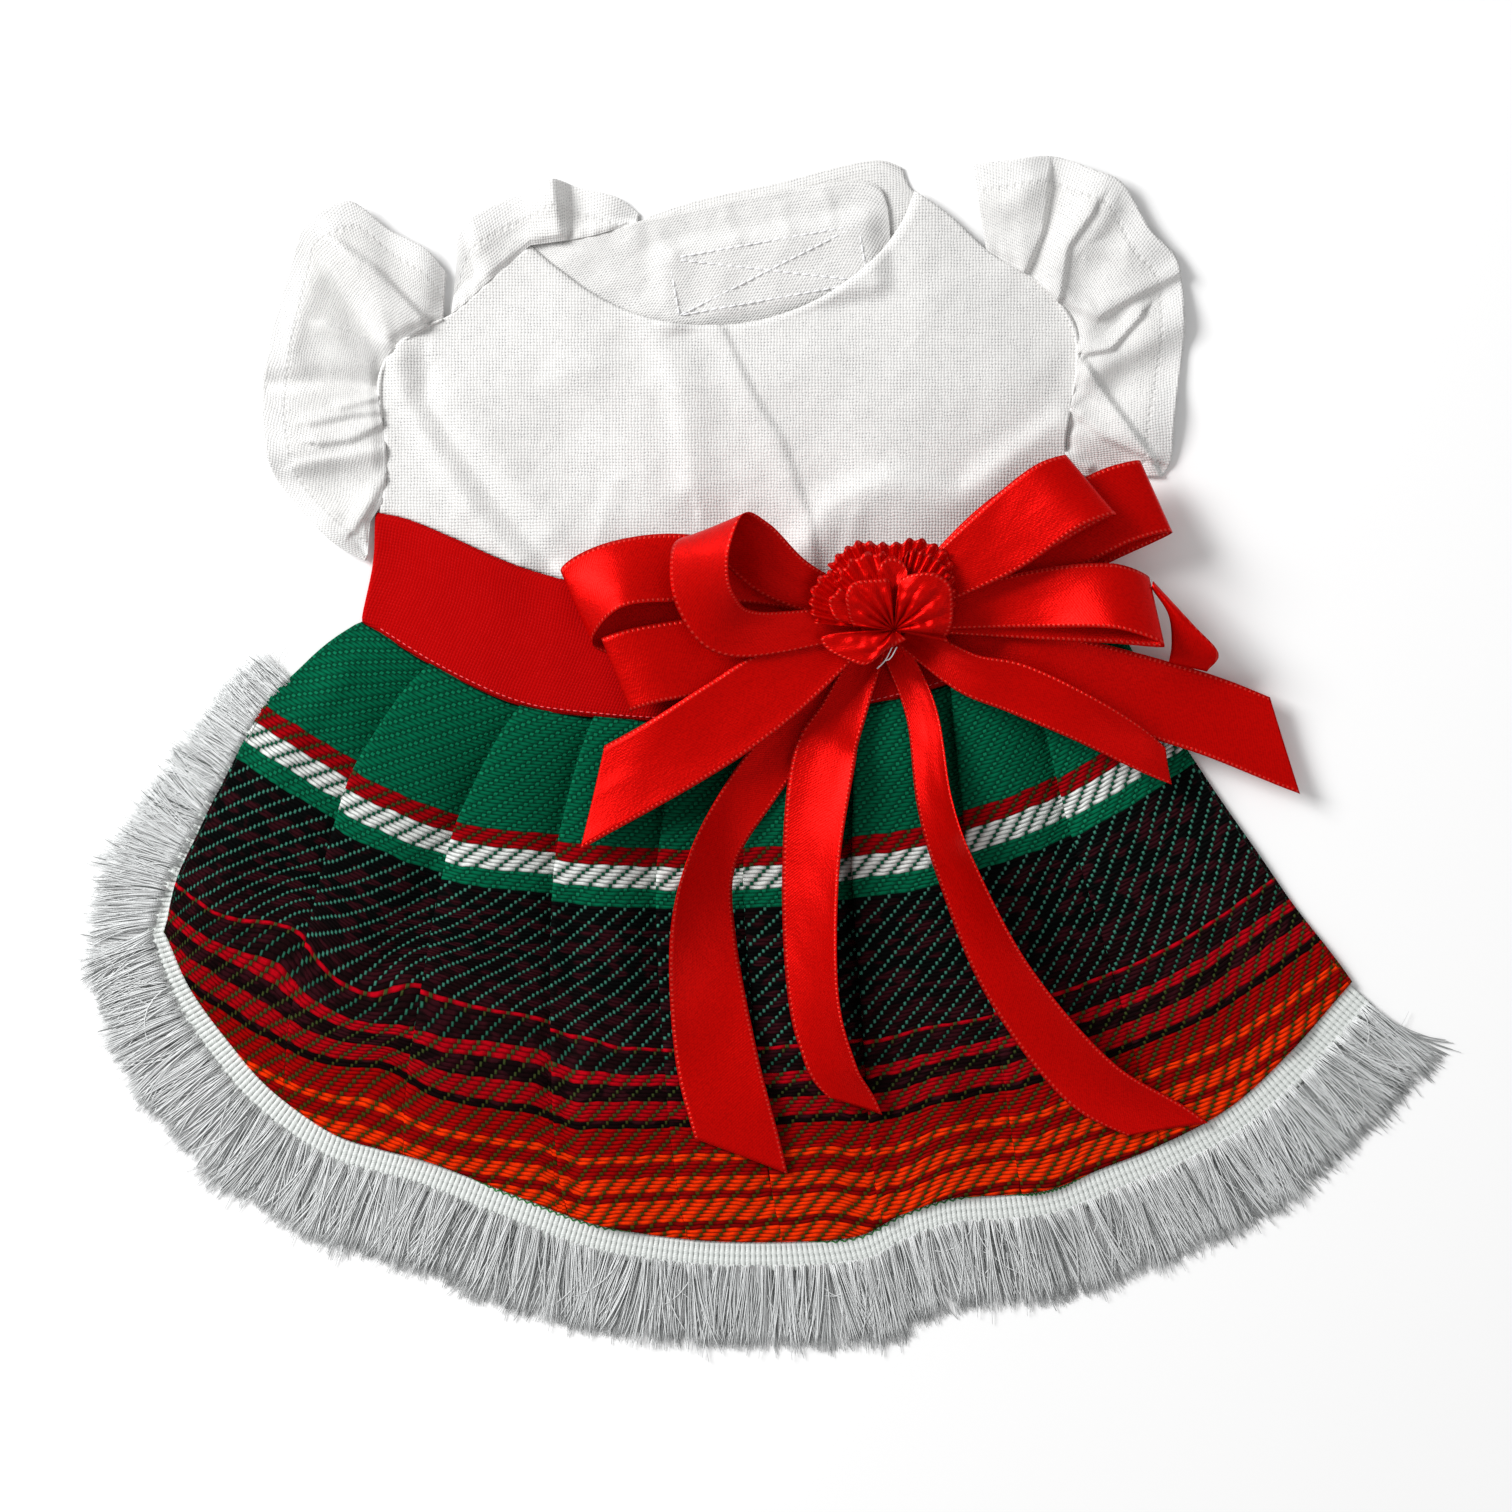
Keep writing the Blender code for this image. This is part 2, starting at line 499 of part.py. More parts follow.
def wrapped(plan, height, left_back, right_back):
    """Grid of a panel whose sides turn under: upper face, a round turn, then a strip beneath.

    left_back and right_back are how many columns of the panel the strips beneath run back.
    """
    upper = with_height(plan, height)
    turn = np.radians([30.0, 90.0, 150.0])
    parts = []
    for edge, inner, back, flip in ((0, 1, left_back, False), (-1, -2, right_back, True)):
        outward = plan[:, edge] - plan[:, inner]
        outward /= np.linalg.norm(outward, axis=1)[:, None]
        radius = (upper[:, edge, 2] - ON_FLOOR) / 2
        middle = (upper[:, edge, 2] + ON_FLOOR) / 2
        columns = []
        for angle in turn:
            place = plan[:, edge] + outward * (radius * math.sin(angle))[:, None]
            columns.append(np.column_stack([place, middle + radius * math.cos(angle)]))
        step = 1 if edge == 0 else -1
        for back_step in range(back + 1):
            place = plan[:, edge + step * back_step]
            columns.append(np.column_stack([place, np.full(len(place), ON_FLOOR)]))
        strip = np.stack(columns, axis=1)
        parts.append(strip if flip else strip[:, ::-1])
    return np.concatenate([parts[0], upper, parts[1]], axis=1)


def waistband(bodice):
    """Red band: its upper face, a fold at each side, and both ends beneath, towards each other."""
    columns = WAIST_CELLS[0] + 1
    top = move_sideways(bodice[-1], -SEAM_GAP)
    bottom = smooth_rows(WAIST_LOW, np.linspace(0.0, 1.0, columns))
    v = np.linspace(0.0, 1.0, WAIST_CELLS[1] + 1)
    left, right = smooth_rows(WAIST_LEFT, v), smooth_rows(WAIST_RIGHT, v)
    left[0], right[0] = top[0], top[-1]
    plan = fill_between(top, bottom, left, right)
    u = np.linspace(0.0, 1.0, columns)[None, :]
    inside = smoothstep(0.0, 0.15, u) * smoothstep(1.0, 0.85, u)
    height = ON_ONE_LAYER + 0.3 + 1.6 * inside * np.ones((len(v), 1))
    half = WAIST_CELLS[0] // 2
    grid = wrapped(plan, height, half - 1, half - 1)
    add_wall("waistband", grid, "red_cotton")
    return plan, with_height(plan, height)


def skirt_plan(band):
    top = along_line(band[-1], np.linspace(0.0, 1.0, SKIRT_CELLS[0] + 1))
    top = move_sideways(top, -SEAM_GAP)
    u = np.linspace(0.0, 1.0, SKIRT_CELLS[0] + 1)
    v = np.linspace(0.0, 1.0, SKIRT_CELLS[1] + 1)
    left, right = smooth_rows(SKIRT_LEFT, v), smooth_rows(SKIRT_RIGHT, v)
    left[0], right[0] = top[0], top[-1]
    return fill_between(top, smooth_rows(HEM, u), left, right)


def skirt_height(plan):
    """Middle height of the skirt: up at the waist and the sides, else on the surface, plus pleats."""
    rows, columns = plan.shape[:2]
    u = np.linspace(0.0, 1.0, columns)[None, :]
    v = np.linspace(0.0, 1.0, rows)[:, None]
    side = np.maximum(smoothstep(0.075, 0.03, u), smoothstep(0.925, 0.97, u))
    waist = 1.0 - 0.9 * smoothstep(0.0, 0.2, v)
    height = ON_FLOOR + (ON_ONE_LAYER + 0.3 - ON_FLOOR) * np.maximum(side, waist)
    inside = smoothstep(0.0, 0.06, u) * smoothstep(1.0, 0.94, u)
    for at_waist, at_hem, hip_high, hem_high, left_wide, right_wide in PLEATS:
        crest = part_at(plan[0], at_waist) * (1 - v) + part_at(plan[-1], at_hem) * v
        spread = np.linalg.norm(np.diff(plan, axis=1), axis=2).sum(axis=1)[:, None]
        across = (u - crest) * spread
        width = np.where(across < 0, left_wide, right_wide) * (0.85 + 0.7 * v)
        high = hip_high * smoothstep(-0.18, PLEAT_PEAK, v)
        high = high + (hem_high - hip_high) * smoothstep(PLEAT_PEAK, 1.0, v)
        height = height + high * inside * bump(across / width)
    return height


def skirt(band):
    plan = skirt_plan(band)
    height = skirt_height(plan)
    grid = wrapped(plan, height, 3, 3)
    add_wall("skirt", grid, "serape_cloth")
    return with_height(plan, height)


def fringe_line(skirt_grid):
    """Line that the fringe follows: up the left side from FRINGE_START, then along the hem."""
    rows = len(skirt_grid)
    first = int(round(FRINGE_START * (rows - 1)))
    side = skirt_grid[first:, 0]
    outward = side[:, :2] - skirt_grid[first:, 1, :2]
    outward /= np.linalg.norm(outward, axis=1)[:, None]
    turn = (side[:, 2] - ON_FLOOR) / 2 + WALL / 2
    side_line = side[:, :2] + outward * turn[:, None]
    return np.vstack([side_line, skirt_grid[-1, 1:, :2]])


def fringe(skirt_grid):
    """Woven header beside the cloth's edge, with tapered locks drawn out of its outer side."""
    line = fringe_line(skirt_grid)
    parts = np.linspace(0.0, 1.0, LOCKS + 1)
    root = along_line(line, parts)
    header, reach = np.array([np.interp(parts, *zip(*[(r[0], r[k]) for r in FRINGE_WIDTHS])) for k in (1, 2)])
    smooth = smooth_rows(along_line(line, np.linspace(0.0, 1.0, 11)), parts)
    outward = move_sideways(smooth, -1.0) - smooth
    inner = root + outward * (SEAM_GAP + GAP)
    outer = root + outward * header[:, None]
    near, far = outer[:-1], outer[:-1] + (outer[1:] - outer[:-1]) * LOCK_SHARE
    sway = np.radians(6.0 * np.sin(parts[:-1] * 47.0) + 4.0 * np.sin(parts[:-1] * 91.0 + 1.0))
    middle = (outward[:-1] + outward[1:]) / 2
    lean = np.column_stack([middle[:, 0] * np.cos(sway) - middle[:, 1] * np.sin(sway),
                            middle[:, 0] * np.sin(sway) + middle[:, 1] * np.cos(sway)])
    uneven = 1.0 + 0.05 * np.sin(np.arange(LOCKS) * 2.4) + 0.03 * np.sin(np.arange(LOCKS) * 0.9)
    length = (reach[:-1] * uneven - header[:-1])[:, None]
    tips = np.column_stack([(near + far) / 2 + lean * length, np.full(LOCKS, LOCK_END_HEIGHT)])

    body = bmesh.new()
    shift = np.array([*CENTRE_SHIFT, 0.0])

    def vertex(place, height):
        return body.verts.new((np.array([place[0], place[1], height]) + shift) * MM)

    inner_verts = [vertex(p, WALL) for p in inner]
    near_verts = [vertex(p, WALL) for p in near] + [vertex(outer[-1], WALL)]
    far_verts = [vertex(p, WALL) for p in far]
    for i in range(LOCKS):
        body.faces.new((inner_verts[i], near_verts[i], far_verts[i], near_verts[i + 1], inner_verts[i + 1]))
    roots = [body.edges.get((near_verts[i], far_verts[i])) for i in range(LOCKS)]
    bmesh.ops.recalc_face_normals(body, faces=body.faces[:])
    if body.faces[0].normal.z < 0:
        bmesh.ops.reverse_faces(body, faces=body.faces[:])
    bmesh.ops.solidify(body, geom=body.faces[:], thickness=WALL * MM)
    body.normal_update()
    sides = [next(f for f in edge.link_faces if abs(f.normal.z) < 0.5) for edge in roots]
    for face, tip in zip(sides, tips):
        poked = bmesh.ops.poke(body, faces=[face])
        poked["verts"][0].co = (tip + shift) * MM
    bmesh.ops.recalc_face_normals(body, faces=body.faces[:])
    mesh = bpy.data.meshes.new("fringe")
    body.to_mesh(mesh)
    body.free()
    mesh.materials.append(cloth_material("fringe_rayon"))
    bpy.context.scene.collection.objects.link(bpy.data.objects.new("fringe", mesh))


def support(grids):
    """Return a function: the highest point of the dress within a distance of each place in plan."""
    points = np.vstack([g.reshape(-1, 3) for g in grids])

    def height(places, around):
        gaps = np.linalg.norm(points[None, :, :2] - places[:, None, :2], axis=2)
        near = np.where(gaps < around, points[None, :, 2], ON_FLOOR)
        return near.max(axis=1) + WALL / 2
    return height


def ribbon_grid(centre, across, width):
    """Grid of a ribbon: its width laid across a centre line."""
    t = np.linspace(-0.5, 0.5, TAIL_CELLS[0] + 1)[None, :, None]
    return centre[:, None] + across[:, None] * width[:, None, None] * t


def root_place(toward):
    """Where a ribbon that runs toward a place leaves the binding, and its direction there."""
    run = np.array(toward) - BINDING_CENTRE
    run /= np.linalg.norm(run)
    return np.array(BINDING_CENTRE) + run * (BINDING_RADIUS + GAP), run


def tails(height_of):
    """Free ends of the ribbon, lying over the band and the skirt."""
    for name, (root_height, skew, rows) in TAILS.items():
        rows = np.array(rows)
        start, _ = root_place(rows[0, :2])
        under = height_of(rows[:, :2], 12.0)
        rows[:, 2] += under + rows[:, 3] / 2 * np.abs(np.tan(np.radians(rows[:, 4])))
        rows = np.vstack([[*start, root_height, ROOT_WIDTH, 0.0], rows])
        stations = smooth_rows(rows, np.linspace(0.0, 1.0, TAIL_CELLS[1] + 1))
        centre, width, lean = stations[:, :3], stations[:, 3], np.radians(stations[:, 4])
        along = np.gradient(centre[:, :2], axis=0)
        along /= np.linalg.norm(along, axis=1)[:, None]
        across = np.column_stack([-along[:, 1], along[:, 0], np.tan(lean)])
        grid = ribbon_grid(centre, across, width)
        cut = np.linspace(-0.5, 0.5, TAIL_CELLS[0] + 1)[None, :] * skew
        reach = smoothstep(0.55, 1.0, np.linspace(0.0, 1.0, len(grid)))[:, None]
        grid[..., :2] += along[:, None] * (cut * reach)[..., None]
        add_wall(name, grid, "satin_ribbon", RIBBON_WALL)


def loops():
    """Loops of the bow, each a ribbon that runs out from the binding, turns and comes back above."""
    for name, (root_heights, rows) in LOOPS.items():
        ends = []
        for row, height in ((rows[0], root_heights[0]), (rows[-1], root_heights[1])):
            place, run = root_place(row[:2])
            turn = math.degrees(math.atan2(-run[0], run[1]))
            turn += 180.0 * round((row[3] - turn) / 180.0)
            ends.append([*place, height, turn, 0.0, ROOT_WIDTH])
        rows = np.vstack([ends[0], rows, ends[1]])
        stations = smooth_rows(rows, np.linspace(0.0, 1.0, LOOP_CELLS[1] + 1), measure=3)
        turn, lean = np.radians(stations[:, 3]), np.radians(stations[:, 4])
        across = np.column_stack([np.cos(turn) * np.cos(lean), np.sin(turn) * np.cos(lean), np.sin(lean)])
        add_wall(name, ribbon_grid(stations[:, :3], across, stations[:, 5]), "satin_ribbon", RIBBON_WALL)


def binding():
    """The ribbon's gathered middle, bound with thread, which carries the loops, tails and rosette."""
    bpy.ops.mesh.primitive_cylinder_add(
        vertices=BINDING_SIDES, radius=BINDING_RADIUS * MM, depth=(BINDING_TOP - BINDING_BOTTOM) * MM)
    piece = bpy.context.object
    piece.name = "bow_binding"
    x, y = np.add(BINDING_CENTRE, CENTRE_SHIFT) * MM
    piece.location = (x, y, (BINDING_TOP + BINDING_BOTTOM) / 2 * MM)
    piece.data.materials.append(cloth_material("satin_ribbon"))


def rosette():
    """Ribbon gathered along one edge and wound, its free edge frilled."""
    cells_round, cells_out = ROSETTE_CELLS
    turns = np.linspace(0.0, ROSETTE_TURNS[-1][0], cells_round + 1)
    table = np.array(ROSETTE_TURNS)
    inner, outer, level = (np.interp(turns, table[:, 0], table[:, k]) for k in (1, 2, 3))
    v = np.linspace(0.0, 1.0, cells_out + 1)[None, :]
    angle = 2 * math.pi * turns[:, None]
    radius = inner[:, None] + (outer - inner)[:, None] * v
    frill = ROSETTE_WAVE_HEIGHT * v ** 1.5 * np.sin(ROSETTE_WAVES * angle)
    x = ROSETTE_CENTRE[0] + radius * np.cos(angle)
    y = ROSETTE_CENTRE[1] + radius * np.sin(angle) * ROSETTE_FLATTEN
    z = level[:, None] + ROSETTE_RISE * v ** 2 + frill + ROSETTE_TILT * (y - ROSETTE_CENTRE[1])
    add_wall("rosette", np.dstack([x, y, z]), "satin_ribbon", RIBBON_WALL)


def main():
    clear_scene()
    bodice = upper_bodice()
    under_flaps(bodice)
    closure_tape()
    ruffle_grids = ruffles(bodice)
    band_plan, band = waistband(bodice)
    skirt_grid = skirt(band_plan)
    fringe(skirt_grid)
    height_of = support([bodice, band, skirt_grid] + ruffle_grids)
    binding()
    tails(height_of)
    loops()
    rosette()


main()
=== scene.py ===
# %% [markdown]
# # A serape dress for a small pet, laid flat
# The dress has a white cotton bodice with gathered sleeves, a red cotton waistband, a pleated skirt
# of striped serape cloth with a white fringe, and a satin ribbon bow with a rosette. It lies on a
# pale floor with its back up and is seen from straight above.
#
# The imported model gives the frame. Its solids are thick and plain, so each one is replaced here by
# a thin cloth surface on the same outline. Tables are in millimetres, x to the right and y towards
# the neck, and become metres when a mesh is made.

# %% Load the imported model
import math

import bpy
import numpy as np
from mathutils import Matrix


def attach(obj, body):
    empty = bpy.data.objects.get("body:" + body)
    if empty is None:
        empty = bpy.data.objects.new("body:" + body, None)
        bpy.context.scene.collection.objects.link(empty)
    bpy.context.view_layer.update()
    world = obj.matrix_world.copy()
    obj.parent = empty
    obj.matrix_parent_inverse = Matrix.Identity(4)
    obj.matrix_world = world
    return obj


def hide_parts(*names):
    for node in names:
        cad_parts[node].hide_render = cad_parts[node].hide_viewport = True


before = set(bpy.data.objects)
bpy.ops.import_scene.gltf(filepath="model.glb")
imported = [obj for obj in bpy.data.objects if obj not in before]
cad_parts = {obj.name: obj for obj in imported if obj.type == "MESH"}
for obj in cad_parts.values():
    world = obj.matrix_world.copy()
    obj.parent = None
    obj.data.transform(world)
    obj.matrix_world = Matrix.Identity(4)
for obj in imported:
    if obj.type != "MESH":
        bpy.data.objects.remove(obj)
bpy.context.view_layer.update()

MM = 0.001
CENTRE = np.array([1.0, 2.0, 0.0])

# %% [markdown]
# ## Camera, floor and light
# A long lens straight above keeps the outline free of perspective, as in the photograph. The light
# is soft: a wide lamp on the neck side, a little to the left, gives each fold a bright and a dark
# side, and a pale surrounding light fills the shadows.

# %% Camera, floor and lamps
CAMERA_HEIGHT = 3.0
FIELD_MM = 478.5
VIEW_CENTRE_MM = (0.7, 0.7)


def linear(hex_colour):
    """sRGB hex to linear: each channel is v/12.92 when dark, else ((v + 0.055) / 1.055) to the 2.4."""
    v = np.array([int(hex_colour[i:i + 2], 16) / 255 for i in (1, 3, 5)])
    return (*np.where(v <= 0.04045, v / 12.92, ((v + 0.055) / 1.055) ** 2.4), 1.0)


camera = bpy.data.objects.new("camera", bpy.data.cameras.new("camera"))
bpy.context.scene.collection.objects.link(camera)
camera.location = (VIEW_CENTRE_MM[0] * MM, VIEW_CENTRE_MM[1] * MM, CAMERA_HEIGHT)
camera.data.lens = camera.data.sensor_width * (CAMERA_HEIGHT - 0.005) / (FIELD_MM * MM)
bpy.context.scene.camera = camera


def add_lamp(name, place, size, watts):
    """Square area lamp at a place, turned to face the middle of the dress."""
    lamp = bpy.data.lights.new(name, "AREA")
    lamp.size = size
    lamp.energy = watts
    item = bpy.data.objects.new(name, lamp)
    bpy.context.scene.collection.objects.link(item)
    item.location = place
    item.rotation_euler = (-item.location).to_track_quat("-Z", "Y").to_euler()
    return item


add_lamp("window_lamp", (-1.6, 0.95, 1.3), 1.0, 60.0)
add_lamp("fill_lamp", (1.2, -0.9, 1.8), 1.4, 5.0)
world = bpy.data.worlds.new("pale_room")
bpy.context.scene.world = world
world.use_nodes = True
world.node_tree.nodes["Background"].inputs["Color"].default_value = (1.0, 1.0, 1.0, 1.0)
world.node_tree.nodes["Background"].inputs["Strength"].default_value = 0.42
bpy.context.scene.view_settings.view_transform = "Standard"

floor_mesh = bpy.data.meshes.new("floor")
floor_mesh.from_pydata([(-3, -3, 0), (3, -3, 0), (3, 3, 0), (-3, 3, 0)], [], [(0, 1, 2, 3)])
floor = bpy.data.objects.new("floor", floor_mesh)
bpy.context.scene.collection.objects.link(floor)
print("camera field", FIELD_MM, "mm at", CAMERA_HEIGHT, "m")

# %% [markdown]
# ## Tools for shapes
# Every piece of cloth is a function of two shares, u across and v down, worked out for the whole
# grid at once. Its plan is a Coons patch: four border curves filled in so that each border keeps
# its shape. Heights are added on top: layers, folds and creases.

# %% Curves and patches


def smoothstep(low, high, value):
    """Rise from 0 at low to 1 at high, as t*t*(3 - 2t)."""
    t = np.clip((value - low) / (high - low), 0.0, 1.0)
    return t * t * (3.0 - 2.0 * t)


def lengths_along(points):
    """Length from the first point of a line to each point: the running sum of its steps."""
    steps = np.linalg.norm(np.diff(points, axis=0), axis=1)
    return np.concatenate([[0.0], np.cumsum(steps)])


def along(points, parts, measure=2):
    """Values of a line at shares of its length, straight between its points."""
    length = lengths_along(points[:, :measure])
    wanted = np.asarray(parts) * length[-1]
    return np.stack([np.interp(wanted, length, column) for column in points.T], axis=-1)


def smooth_rows(rows, parts, measure=2):
    """Catmull-Rom spline through table rows, at shares of its length over the first columns."""
    rows = np.asarray(rows, float)
    ends = np.vstack([2 * rows[0] - rows[1], rows, 2 * rows[-1] - rows[-2]])
    a, b, c, d = (ends[k:len(ends) - 3 + k, None] for k in range(4))
    t = np.linspace(0.0, 1.0, 17)[:-1, None]
    dense = 0.5 * (2 * b + (c - a) * t + (2 * a - 5 * b + 4 * c - d) * t ** 2
                   + (3 * b - a - 3 * c + d) * t ** 3)
    return along(np.vstack([dense.reshape(-1, rows.shape[1]), rows[-1:]]), parts, measure)


def curve(rows):
    """Plan curve through table rows, as a function of the share of its length."""
    return lambda parts: smooth_rows(rows, parts)[..., :2]


def line(points):
    """Plan line through close points, as a function of the share of its length."""
    return lambda parts: along(np.asarray(points)[:, :2], parts)


def patch(top, bottom, left, right):
    """Coons patch: the two ruled surfaces between opposite borders, less the one between corners."""
    def plan(u, v):
        u, v = np.broadcast_arrays(u, v)
        a, b = u[..., None], v[..., None]
        corners = ((1 - b) * ((1 - a) * top(0.0) + a * top(1.0))
                   + b * ((1 - a) * bottom(0.0) + a * bottom(1.0)))
        return (1 - b) * top(u) + b * bottom(u) + (1 - a) * left(v) + a * right(v) - corners
    return plan


def sideways(points, distance):
    """Line moved to its left: each point plus the distance along its left normal."""
    run = np.gradient(points[:, :2], axis=0)
    run /= np.linalg.norm(run, axis=1)[:, None]
    return points[:, :2] + np.column_stack([-run[:, 1], run[:, 0]]) * distance


def ridge(plan, rows, high, left_wide, right_wide):
    """Fold along a line of points: high * exp(-(distance / width) squared), one width for each side."""
    points = np.array(rows, float)
    best = np.full(plan.shape[:2], 1e9)
    side = np.zeros(plan.shape[:2])
    for start, end in zip(points[:-1], points[1:]):
        run = end - start
        part = np.clip(((plan - start) @ run) / (run @ run), 0.0, 1.0)
        away = plan - start - part[..., None] * run
        gap = np.linalg.norm(away, axis=-1)
        nearer = gap < best
        side = np.where(nearer, run[0] * away[..., 1] - run[1] * away[..., 0], side)
        best = np.where(nearer, gap, best)
    return high * np.exp(-(best / np.where(side > 0, left_wide, right_wide)) ** 2)


def rumple(plan, size, depth, seed):
    """Uneven soft wrinkles: the mean of sine waves of about one length in random directions."""
    chance = np.random.default_rng(seed)
    angle, phase = chance.uniform(0, 2 * math.pi, (2, 14))
    scale = 2 * math.pi / (size * chance.uniform(0.7, 1.5, 14))
    waves = [np.sin((plan @ np.array([math.cos(a), math.sin(a)])) * k + p)
             for a, p, k in zip(angle, phase, scale)]
    return depth * np.mean(waves, axis=0) * 2.6


# %% [markdown]
# ## Tools for meshes
# A grid of points becomes a mesh of quads. A point attribute named cloth goes with it and holds
# three lengths in millimetres: across the piece, down the piece, and in from its edge. The weaves,
# stripes and stitches below are drawn from it, so they follow the cloth round every fold. Threads,
# stitches and fringe strands are thin tubes, all those of one kind in one mesh.

# %% Meshes from arrays


def mesh_piece(name, points, faces, material, cloth=None):
    """Object from points in millimetres and arrays of faces, each array with its own corner count."""
    mesh = bpy.data.meshes.new(name)
    place = (np.asarray(points).reshape(-1, 3) + CENTRE) * MM
    corners = np.concatenate([f.ravel() for f in faces])
    counts = np.concatenate([np.full(len(f), f.shape[1]) for f in faces])
    mesh.vertices.add(len(place))
    mesh.vertices.foreach_set("co", place.ravel())
    mesh.loops.add(len(corners))
    mesh.loops.foreach_set("vertex_index", corners.astype(np.int32))
    mesh.polygons.add(len(counts))
    mesh.polygons.foreach_set("loop_start", (np.cumsum(counts) - counts).astype(np.int32))
    if cloth is not None:
        values = mesh.attributes.new("cloth", "FLOAT_VECTOR", "POINT")
        values.data.foreach_set("vector", np.asarray(cloth, float).reshape(-1, 3).ravel())
    mesh.update(calc_edges=True)
    mesh.validate()
    mesh.shade_smooth()
    mesh.materials.append(material)
    piece = bpy.data.objects.new(name, mesh)
    bpy.context.scene.collection.objects.link(piece)
    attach(piece, "root")
    return piece


def grid_faces(rows, columns):
    """Quads of a grid of rows by columns, facing up where columns run right and rows run down."""
    index = np.arange(rows * columns).reshape(rows, columns)
    return np.stack([index[1:, :-1], index[1:, 1:], index[:-1, 1:], index[:-1, :-1]], -1).reshape(-1, 4)


def cloth_piece(name, grid, material, thick, cloth, node=None):
    """Sheet of cloth from a grid of points, given its thickness by Solidify about its middle."""
    piece = mesh_piece(name, grid, [grid_faces(*grid.shape[:2])], material, cloth)
    wall = piece.modifiers.new("Thickness", "SOLIDIFY")
    wall.thickness = thick * MM
    wall.offset = 0.0
    if node:
        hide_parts(node)
    return piece


def grid_lengths(grid, edge=99.0):
    """Cloth attribute of a grid: running lengths along its rows and columns, and one edge value."""
    across = np.linalg.norm(np.diff(grid, axis=1, prepend=grid[:, :1]), axis=2).cumsum(axis=1)
    down = np.linalg.norm(np.diff(grid, axis=0, prepend=grid[:1]), axis=2).cumsum(axis=0)
    return np.stack([across, down, np.broadcast_to(edge, across.shape)], axis=-1)


def tubes(paths, radii, sides):
    """Tubes round many paths: each point plus its radius times (cos side + sin up) round the path."""
    run = np.gradient(paths, axis=1)
    run /= np.maximum(np.linalg.norm(run, axis=2), 1e-9)[..., None]
    side = np.cross(run, np.array([0.0, 0.0, 1.0]) + 0.001)
    side /= np.linalg.norm(side, axis=2)[..., None]
    up = np.cross(side, run)
    turn = np.linspace(0.0, 2 * math.pi, sides, endpoint=False)
    ring = (np.cos(turn)[:, None] * side[:, :, None] + np.sin(turn)[:, None] * up[:, :, None])
    points = paths[:, :, None] + ring * np.broadcast_to(radii, paths.shape[:2])[..., None, None]
    count, rings = paths.shape[:2]
    index = np.arange(count * rings * sides).reshape(count, rings, sides)
    after = np.roll(index, -1, axis=2)
    walls = np.stack([index[:, :-1], index[:, 1:], after[:, 1:], after[:, :-1]], axis=-1).reshape(-1, 4)
    return points.reshape(-1, 3), [walls, index[:, 0], index[:, -1, ::-1]]


def stitches(paths, pitch, long, thick, lift):
    """Centre lines and radii of stitches: short arched runs set a pitch apart along each path."""
    runs = []
    for path in paths:
        length = lengths_along(path)[-1]
        middles = np.arange(pitch / 2, length, pitch)
        shares = (middles[:, None] + np.linspace(-0.5, 0.5, 5) * long) / length
        run = along(path, np.clip(shares, 0.0, 1.0), 3)
        run[..., 2] += lift * np.array([0.0, 0.8, 1.0, 0.8, 0.0])
        runs.append(run)
    return np.concatenate(runs), thick * np.array([0.45, 0.9, 1.0, 0.9, 0.45])


# %% [markdown]
# ## Materials
# Cloth is drawn by its own yarns. Each material starts from the cloth attribute, in millimetres,
# and builds a small height map and a colour from the same numbers, so that light and colour agree.
# Real cotton has a yarn about every 0.4 mm, which is too fine to show from here, so the weaves are
# drawn coarser, with a yarn every millimetre.

# %% Helpers for materials


def add_node(tree, kind, inputs=None, **settings):
    """Add one node, set its properties, and give each input a value or a link from a node."""
    made = tree.nodes.new(kind)
    for key, value in settings.items():
        setattr(made, key, value)
    for key, value in (inputs or {}).items():
        if isinstance(value, bpy.types.Node):
            value = value.outputs[0]
        if isinstance(value, bpy.types.NodeSocket):
            tree.links.new(value, made.inputs[key])
        else:
            made.inputs[key].default_value = value
    return made


def start_material(name, **finish):
    """New material with its Principled shader's sockets set, its node tree and that shader."""
    material = bpy.data.materials.new(name)
    material.use_nodes = True
    surface = material.node_tree.nodes["Principled BSDF"]
    for key, value in finish.items():
        surface.inputs[key.replace("_", " ")].default_value = value
    return material, material.node_tree, surface


def fill_ramp(ramp, stops, mode="LINEAR"):
    """Set a colour ramp's stops from rows of place and hex colour."""
    ramp.interpolation = mode
    while len(ramp.elements) > 1:
        ramp.elements.remove(ramp.elements[-1])
    ramp.elements[0].position = stops[0][0]
    ramp.elements[0].color = linear(stops[0][1])
    for place, colour in stops[1:]:
        ramp.elements.new(place).color = linear(colour)


# %% [markdown]
# ### Plain-woven cotton
# Bodice and waistband are cotton in plain weave: each yarn goes over one and under the next, with
# a tiny gap at each crossing, which the eye sees as a fine grid of darker dots on a matt surface.
# Where a hem lies double it looks whiter, and its row of stitches makes small dents.

# %% Cotton
YARN_MM = 1.0
HEM_STITCH_MM = 8.5


